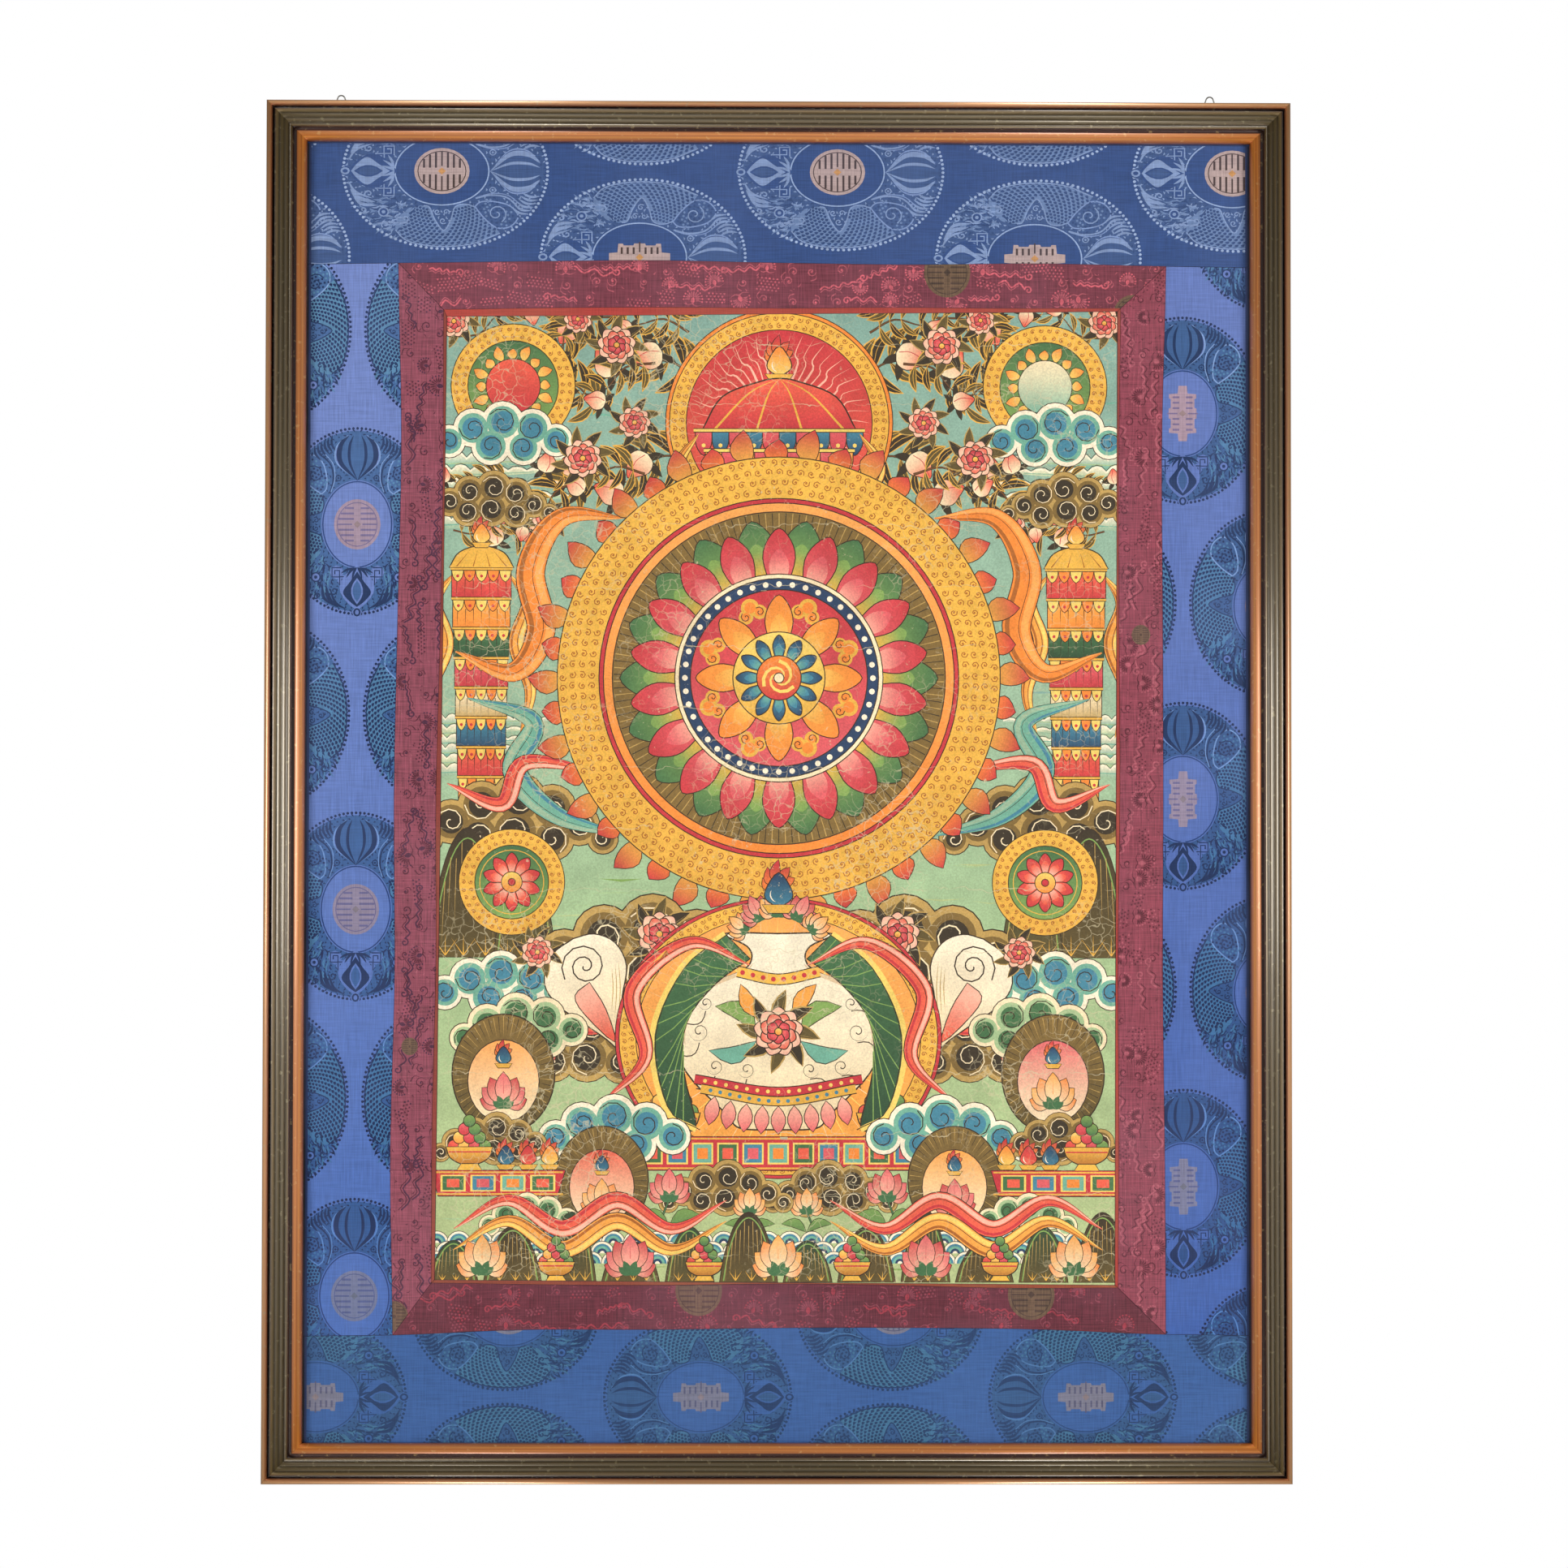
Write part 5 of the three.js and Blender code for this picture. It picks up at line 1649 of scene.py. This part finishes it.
def canopy():
    """A parasol of three valances with tassels and a jewel on top."""
    made = Drawing()
    made.lay(jewel(9, "lemon", "orange"), (0, 40))
    made.outlined(curve([(-46, 0), (-34, 20), (-12, 29), (0, 31), (12, 29), (34, 20), (46, 0)], 5), "coral",
        0.9, "crimson", [(0, 30), (0, 0)])
    for x in (-26, -9, 9, 26):
        made.line(curve([(0, 31), (x * 0.7, 22), (x * 1.5, 0)], 4), 1.4, "gold", "head")
    for row, (z, half, dye, second) in enumerate(((0, 50, "blue", "navy"), (-12, 44, "saffron", "orange"),
            (-24, 38, "green", "forest"))):
        count = 10 - row
        for i in range(count):
            x = -half + (i + 0.5) * 2 * half / count
            wide = half / count
            flap = curve([(x - wide, z), (x - wide * 0.9, z - 9), (x, z - 15), (x + wide * 0.9, z - 9),
                (x + wide, z)], 3)
            made.outlined(flap, dye if (i + row) % 2 else "rose", 0.6, second if (i + row) % 2
                else "crimson", [(x, z), (x, z - 15)])
            made.fill(oval((x, z - 9), 1.3, 6), "lemon")
        made.edged_line([(-half - 1, z), (half + 1, z)], (2.6, 1.6), "lemon")
    for side in (1, -1):
        made.lay(ribbon([(48, -2), (60, -22), (52, -44), (66, -66)], 7, YELLOW_SCARF, side))
    return made


def aureole(radius, dye, to, rim):
    """A round halo of wavy rays inside a rim of gold curls."""
    made = Drawing()
    disc(made, radius, rim, steps=72)
    disc(made, radius - 3, "amber", steps=72, to="gold")
    curls(made, radius - 16, radius - 3, 6.4, "rust", 2.4)
    disc(made, radius - 16, dye, steps=64, to=to)
    for i in range(48):
        ends = spoke(i * 7.5, radius * 0.3, radius * 0.55, radius * 0.62, radius - 18)
        ends[1:3] += spoke(i * 7.5 + 90, 2.0)[0] * ((1,), (-1,))
        made.line(curve(ends, 3), 1.1 if i % 2 else 2.0, ("lemon", "cream")[i % 2] if rim == "crimson"
            else "pink", "tail")
    return made


def banner(tiers):
    """A tall striped banner of pleated cloth under a gold cap, with scarves down its sides."""
    made = Drawing()
    stripes = (("coral", "crimson"), ("saffron", "orange"), ("green", "forest"), ("rose", "crimson"),
        ("cream", "sand"), ("blue", "navy"))
    for side in (1, -1):
        made.lay(ribbon([(20, -2), (35, -26), (27, -58), (38, -94), (30, -130)], 11, YELLOW_SCARF, side))
    for row in range(tiers):
        z, (dye, second) = -row * 23, stripes[row % len(stripes)]
        half = 23 - row * 0.8
        made.outlined([(-half, z), (half, z), (half, z - 24), (-half, z - 24)], dye, 0.9, second,
            [(0, z - 4), (0, z - 24)])
        for x in np.linspace(-0.82, 0.82, 7):
            made.line([(x * half, z - 8), (x * half * 1.03, z - 22)], 0.6, "ink", "tail")
        for i in range(5):
            x, wide = -half + (i + 0.5) * half * 0.4, half * 0.2
            flap = curve([(x - wide, z), (x - wide * 0.8, z - 6), (x, z - 10), (x + wide * 0.8, z - 6),
                (x + wide, z)], 2)
            made.outlined(flap, ("lemon", "orange")[i % 2], 0.6)
            made.fill(oval((x, z - 5.5), 1.3, 6), "crimson")
        made.edged_line([(-half - 1, z), (half + 1, z)], (2.8, 1.6), "gold")
    made.outlined(curve([(-25, 1), (-17, 13), (0, 18), (17, 13), (25, 1)], 4), "gold", 0.9, "amber",
        [(0, 18), (0, 0)])
    for x in (-12, -4, 4, 12):
        made.line([(x * 0.7, 15), (x * 1.6, 2)], 0.9, "rust", "head")
    made.lay(jewel(8, "lemon", "orange"), (0, 26))
    return made


def fruit_bowl(wide):
    """A gold bowl heaped with round fruit."""
    made = Drawing()
    for row, count in enumerate((4, 3, 2, 1)):
        for i in range(count):
            x = (i - (count - 1) / 2) * wide * 0.25
            dye, to = (("coral", "crimson"), ("lemon", "orange"), ("rose", "crimson"),
                ("moss", "green"))[(i + row) % 4]
            disc(made, wide * 0.145, dye, (x, wide * (0.08 + 0.2 * row)), 0.7, 16, to)
    bowl = curve([(-wide * 0.56, wide * 0.06), (-wide * 0.46, -wide * 0.2), (-wide * 0.16, -wide * 0.36),
        (wide * 0.16, -wide * 0.36), (wide * 0.46, -wide * 0.2), (wide * 0.56, wide * 0.06)], 4)
    made.outlined(bowl, "gold", 0.9, "rust", [(0, 0), (0, -wide * 0.4)])
    made.line([(-wide * 0.5, -wide * 0.06), (wide * 0.5, -wide * 0.06)], 1.1, "crimson")
    made.outlined([(-wide * 0.2, -wide * 0.34), (wide * 0.2, -wide * 0.34), (wide * 0.3, -wide * 0.5),
        (-wide * 0.3, -wide * 0.5)], "amber", 0.8)
    return made


def conch(size):
    """A white shell with a coiled head, shaded ribs and a rosy mouth, wound with a red sash."""
    made = Drawing()
    shell = curve([(0.0, 1.0), (0.5, 0.88), (0.86, 0.45), (0.8, -0.05), (0.5, -0.55), (0.2, -1.05),
        (0.02, -1.4), (-0.16, -1.0), (-0.38, -0.45), (-0.72, 0.1), (-0.7, 0.6), (-0.4, 0.92), (0.0, 1.0)],
        4)[:-1]
    made.lay(ribbon([(-size * 1.2, -size * 0.7), (-size * 0.6, -size * 0.3), (size * 0.2, -size * 0.75),
        (size * 0.9, -size * 0.5), (size * 1.3, -size * 1.0)], size * 0.26, CORAL_SCARF))
    made.outlined(shell * size, "white", 1.0, "parchment", [(0, size), (0, -size * 1.4)])
    mouth = curve([(0.06, 0.1), (0.42, -0.02), (0.4, -0.42), (0.08, -1.15), (-0.02, -0.5), (0.06, 0.1)],
        3)[:-1]
    made.outlined(mouth * size, "pink", 0.8, "coral", [(0, 0), (0, -size)])
    made.line(spiral((0.02 * size, 0.42 * size), 0.46 * size, 100, -2.1, 12, 0.05), 1.1, "ink")
    for angle in range(-60, 240, 20):
        made.line(spoke(angle, 0.5 * size, 0.62 * size) + (0, 0.4 * size), 0.8, "sand", "leaf")
    for side in (0.62, 0.74, 0.86):
        made.line(curve(np.array([(-0.72, 0.3), (-0.5, -0.3), (-0.16, -0.95)]) * size * side, 4), 0.7,
            "sand", "leaf")
    return made


print("shapes in the wheel and the vase:", len(lotus_wheel().shapes), len(great_vase().shapes))


# %% [markdown]
# ### The layout of the picture
#
# The sky is laid first and the foreground last, as a later shape covers an earlier one. Most things stand
# in pairs beside the middle line. Those with a left and a right are mirrored, and round ones are only moved.

# %% Lay out the picture
def sky_and_meadow(made, rng):
    """The ground of the picture, from a blue-green sky to a meadow, with thin level streaks."""
    for top, foot, dye, to in ((400, 60, "sky", "haze"), (60, -120, "haze", "mint"),
            (-120, -400, "mint", "meadow")):
        made.fill([(-290, top), (290, top), (290, foot), (-290, foot)], dye, to, [(0, top), (0, foot)])
    for _ in range(260):
        x, z = rng.uniform(-260, 260), rng.uniform(-370, 370)
        reach, lift = rng.uniform(14, 46), rng.uniform(-2.5, 2.5)
        tones = ("haze", "sky", "seafoam") if z > -40 else ("mint", "meadow", "moss")
        made.line([(x, z), (x + reach / 2, z + lift), (x + reach, z)], rng.uniform(0.8, 2.4),
            tones[rng.integers(0, 3)], "leaf")


def sun_ring(dye, to):
    """A sun or a moon in a ring of gold scrollwork."""
    made = Drawing()
    disc(made, 48, "amber", steps=48, to="gold")
    curls(made, 35, 48, 6.4, "rust", 2.0)
    disc(made, 35, "green", steps=40, to="moss")
    for i in range(16):
        base, tip = spoke(i * 22.5, 20, 33 if i % 2 else 29)
        made.outlined(leaf(base, tip, 8, 0.1), "lemon", 0.5, "orange", [base, tip])
    disc(made, 21, dye, steps=32, to=to)
    return made


def paint_picture():
    """The whole picture, in millimetres from its middle."""
    made = Drawing()
    sky_and_meadow(made, np.random.default_rng(5))

    def place(drawing, x, z, turn=0, size=1):
        """Lays a drawing on this side, mirrored on the left."""
        made.lay(drawing, (side * x, z), turn * side, size, flip)

    def keep(drawing, x, z, turn=0, size=1):
        """Lays a drawing on this side, without mirroring it."""
        made.lay(drawing, (side * x, z), turn, size)

    spray_wide, spray_small = leaf_spray(104, 8, 3), leaf_spray(72, 6, 2)
    wheel, bank = small_wheel(("coral", "crimson", "pink")), Drawing()
    bank.lay(cloud_bank(118, 6, ("seafoam", "mint", "haze")), flip=True)
    dark_cloud = curly_cloud([(-40, 0, 12), (-24, 10, 14), (-4, 15, 16), (18, 12, 14), (36, 2, 13),
        (20, -6, 14), (-2, -4, 16), (-24, -8, 13), (50, -8, 9), (-54, -8, 9)], "sand", "bronze", "dark",
        "cream")
    blue_cloud = curly_cloud([(-36, 0, 11), (-20, 8, 13), (0, 12, 14), (20, 8, 13), (36, -1, 11),
        (8, -4, 13), (-14, -5, 12), (50, -7, 8)], "white", "seafoam", "blue")
    green_cloud = curly_cloud([(-30, 0, 10), (-14, 8, 12), (4, 10, 13), (22, 4, 12), (36, -5, 9),
        (8, -6, 12), (-16, -6, 11)], "cream", "mint", "green")
    flag, blossom, bowl = banner(8), peony(15), fruit_bowl(34)
    for side, flip in BOTH_SIDES:
        # The sky: level clouds at the sides, a sun or moon in a gold ring in each corner, and fruit sprays.
        place(bank, 268, 262)
        place(bank, 268, 60, size=0.8)
        for x, z, turn, size in ((58, 318, 14, 1.0), (62, 262, -20, 0.95), (120, 372, -28, 0.9),
                (140, 300, 24, 0.8)):
            place(spray_wide, x, z, turn, size)
        for x, z, turn, size in ((70, 360, 6, 0.95), (150, 246, -46, 1.1), (250, 356, 150, 0.8),
                (206, 246, -12, 0.7), (150, 376, -64, 0.9), (96, 336, -30, 1.0), (104, 250, -8, 1.0),
                (252, 206, 168, 0.7), (96, 380, 150, 0.9)):
            place(spray_small, x, z, turn, size)
        keep(sun_ring(*(("coral", "crimson") if flip else ("cream", "seafoam"))), 206, 318)
        place(blue_cloud, 214, 276, size=1.15)
        for x, z, turn, size in ((126, 350, 0, 0.95), (152, 262, 20, 0.95), (156, 370, 10, 0.7),
                (112, 290, 30, 0.8), (180, 214, 12, 0.7), (252, 368, 0, 0.8)):
            keep(blossom, x, z, turn, size)
        place(dark_cloud, 224, 226, size=0.85)
        keep(flag, 230, 176)
        # Hills, dark clouds and small wheels beside the great wheel's foot.
        place(dark_cloud, 206, -22, size=1.3)
        place(hill(62, 100), 240, -124)
        place(hill(48, 78, "forest"), 196, -124)
        keep(wheel, 206, -66, size=0.95)
        # Scarves that swing out from behind the great wheel.
        for points, width, dyes in (([(120, 216), (168, 216), (192, 176), (184, 128), (206, 96),
                (250, 112)], 22, ("orange", "apricot", "rust")),
                ([(120, -30), (172, -14), (204, 20), (190, 58), (240, 76)], 18,
                ("seafoam", "haze", "blue")), ([(140, 20), (196, 26), (214, -6), (256, 10)], 13,
                CORAL_SCARF)):
            made.lay(ribbon(points, width, dyes, side))
    made.lay(aureole(88, "crimson", "coral", "orange"), (0, 290))
    made.lay(canopy(), (0, 284), size=1.3)
    made.lay(lotus_wheel(), (0, 92), size=1.15)
    # The ground: dark clouds behind the vase, shells, niches, tables with offerings, waves and hills.
    for side, flip in BOTH_SIDES:
        place(dark_cloud, 104, -128, size=1.7)
        place(dark_cloud, 150, -196, size=1.2)
        place(blue_cloud, 214, -150, size=1.2)
        place(conch(40), 142, -146, -24)
        keep(blossom, 92, -106, size=1.1)
        keep(blossom, 186, -120, 30, 0.8)
    made.lay(aureole(126, "apricot", "saffron", "crimson"), (0, -186), size=(1.0, 0.86))
    made.lay(brocade_table(214, 26), (0, -262))
    for side, flip in BOTH_SIDES:
        keep(bowl, 82, -246, size=1.15)
    made.lay(great_vase(), (0, -186), size=1.22)
    for x, z, dyes, tone, size in ((-212, -214, ROSY, "apricot", 1.1), (212, -214, GOLDEN, "rose", 1.1),
            (-136, -296, GOLDEN, "coral", 1.0), (136, -296, ROSY, "saffron", 1.0)):
        made.lay(blue_cloud if abs(x) < 150 else green_cloud, (x * 0.93, z + 34), flip=x < 0, size=1.25)
        made.lay(niche(dyes, tone), (x, z), size=size)
    for side, flip in BOTH_SIDES:
        place(dark_cloud, 42, -306, size=0.85)
        place(dark_cloud, 220, -268, size=0.8)
        keep(brocade_table(92, 20), 216, -288)
        keep(bowl, 238, -272, size=0.95)
        for i, (dye, shade) in enumerate((("lemon", "orange"), ("coral", "crimson"), ("blue", "navy"))):
            keep(jewel(8, dye, shade), 176 + 17 * i, -278)
        place(lotus(19, stem=36), 84, -310)
        place(lotus(15, GOLDEN, 26), 22, -320)
        place(green_cloud, 190, -326, size=0.9)
    made.lay(waves(560, 3), (0, -344))
    for i, x in enumerate(np.linspace(-250, 250, 12)):
        made.lay(hill(38 + 7 * (i % 2), 32 + 11 * (i % 3), "dark" if i % 2 else "forest"), (x, -374))
    for side, flip in BOTH_SIDES:
        for z, dyes in ((-322, CORAL_SCARF), (-338, YELLOW_SCARF)):
            made.lay(ribbon([(40 + 42 * i, z + 11 * (-1) ** i) for i in range(6)], 13, dyes, side))
    for i, x in enumerate(np.linspace(-228, 228, 9)):
        made.lay(*((fruit_bowl(26), (x, -360)) if i % 2 else (lotus(23, ROSY if i % 4 else GOLDEN),
            (x, -366))))
    return made


PAINTS = {"ground": "#a3bda0", "sky": "#7fa9a6", "haze": "#96b9a3", "mint": "#a0c096", "meadow": "#aec08e",
    "seafoam": "#6fae9f", "orange": "#ec8b3c", "apricot": "#f3a95c", "saffron": "#eda34c",
    "gold": "#dfae4c", "amber": "#e8b850", "lemon": "#ecd070", "crimson": "#c23a44", "rose": "#d6606a",
    "coral": "#e2614e", "pink": "#f0b6a6", "cream": "#f0e2c2", "white": "#f2ecdb", "parchment": "#e4d2ac",
    "shell": "#d9c4a4", "blue": "#4585a3", "navy": "#2c4266", "green": "#44704c", "forest": "#2f4a36",
    "moss": "#7fa45c", "olive": "#5e5230", "bronze": "#7d673a", "sand": "#b79a5c", "brown": "#6d4a2c",
    "rust": "#a8642c", "dark": "#3a3226", "ink": "#382b20"}
picture = paint_picture()
print("painted shapes:", len(picture.shapes))
whole = Drawing()
whole.lay(picture, (0.5, -544.9))


# %% [markdown]
# ### Worn distemper
#
# The paint is ground colour in glue on a chalk-primed cotton, so it is dead matt. With age it mottles, its
# pale priming shows through cracks and flakes, and the turns of the roll leave pale level lines. A mesh
# could carry none of this as shapes, so noises and a cell pattern mix the priming in over the dyes.

# %% Worn distemper
PRIMING = "#d8c8a0"
ROLL_TURN = 47 * MM               # between two lines of the roll
WARMTH = (1.1, 1.0, 0.86)         # age and smoke make all the colours a little warmer


def worn_paint():
    """Distemper on cotton: mottled, with pale cracks and flakes, and pale lines where it was once rolled."""
    material, tree, shader = new_material("distemper_on_cotton", Roughness=0.75, IOR=1.45)
    place = node(tree, "TexCoord").outputs["Object"]
    dye = node(tree, "Attribute", attribute_name="dye").outputs["Color"]

    def patches(scale, low, high, to_low, to_high, detail=4.0):
        """A noise with its middle values spread out between two others."""
        made = node(tree, "TexNoise", {"Vector": place, "Scale": scale, "Detail": detail, "Roughness": 0.65})
        return node(tree, "MapRange", {0: made, 1: low, 2: high, 3: to_low, 4: to_high})

    mottled = node(tree, "Math", {0: patches(38.0, 0.3, 0.7, 0.86, 1.15, 6.0), 1: patches(700.0, 0.3, 0.7,
        0.86, 1.16, 2.0)}, operation="MULTIPLY")
    paint = node(tree, "VectorMath", {0: dye, "Scale": mottled}, operation="SCALE")
    paint = node(tree, "VectorMath", {0: paint, 1: WARMTH}, operation="MULTIPLY")
    shifted = node(tree, "TexNoise", {"Vector": place, "Scale": 90.0, "Detail": 2.0}).outputs["Color"]
    crooked = node(tree, "VectorMath", {0: shifted, 1: (0.012, 0.012, 0.012), 2: place},
        operation="MULTIPLY_ADD")
    cells = node(tree, "TexVoronoi", {"Vector": crooked, "Scale": 110.0}, feature="DISTANCE_TO_EDGE")
    crack = node(tree, "MapRange", {0: cells.outputs["Distance"], 1: 0.0, 2: 0.045, 3: 1.0, 4: 0.0})
    height = node(tree, "SeparateXYZ", {0: crooked}).outputs["Z"]
    turns = node(tree, "Math", {0: height, 1: ROLL_TURN}, operation="DIVIDE")
    part = node(tree, "Math", {0: turns}, operation="FRACT")
    line = node(tree, "Math", {0: part, 1: 0.012}, operation="LESS_THAN")
    wear = []
    for pattern, where in ((crack, patches(8.0, 0.48, 0.6, 0.0, 0.62)),
            (patches(260.0, 0.62, 0.67, 0.0, 0.75, 6.0), patches(14.0, 0.47, 0.62, 0.0, 1.0)),
            (line, patches(22.0, 0.44, 0.58, 0.0, 0.65))):
        wear.append(node(tree, "Math", {0: pattern, 1: where}, operation="MULTIPLY"))
    worn = node(tree, "Math", {0: wear[0], 1: wear[1]}, operation="MAXIMUM")
    worn = node(tree, "Math", {0: worn, 1: wear[2]}, operation="MAXIMUM")
    aged = node(tree, "Mix", {0: worn, 6: paint, 7: linear(PRIMING)}, data_type="RGBA")
    relief = node(tree, "Bump", {"Height": mottled, "Strength": 0.3, "Distance": 0.0003})
    wire(tree, shader, {"Base Color": aged.outputs[2], "Normal": relief})
    return material


# %% Cut the painted cotton
canvas = worn_paint()
canvas_back = cloth_material("raw_cotton_back", contrast=0.12, fade="#a08a68", faded=0.2)
cut_cloth("painted_cotton", "painting", whole, {key: (colour, 0.1) for key, colour in PAINTS.items()}, 1.0,
    "#cbbf9f", [canvas, canvas_back], spacing=12.0)


# %% [markdown]
# ## Triangles
#
# The last cell counts the triangles of all the cut cloths. The dressed picture must be as large
# as the imported model.

# %% Count the cloth triangles
print("cloth triangles:", cloth_triangles)
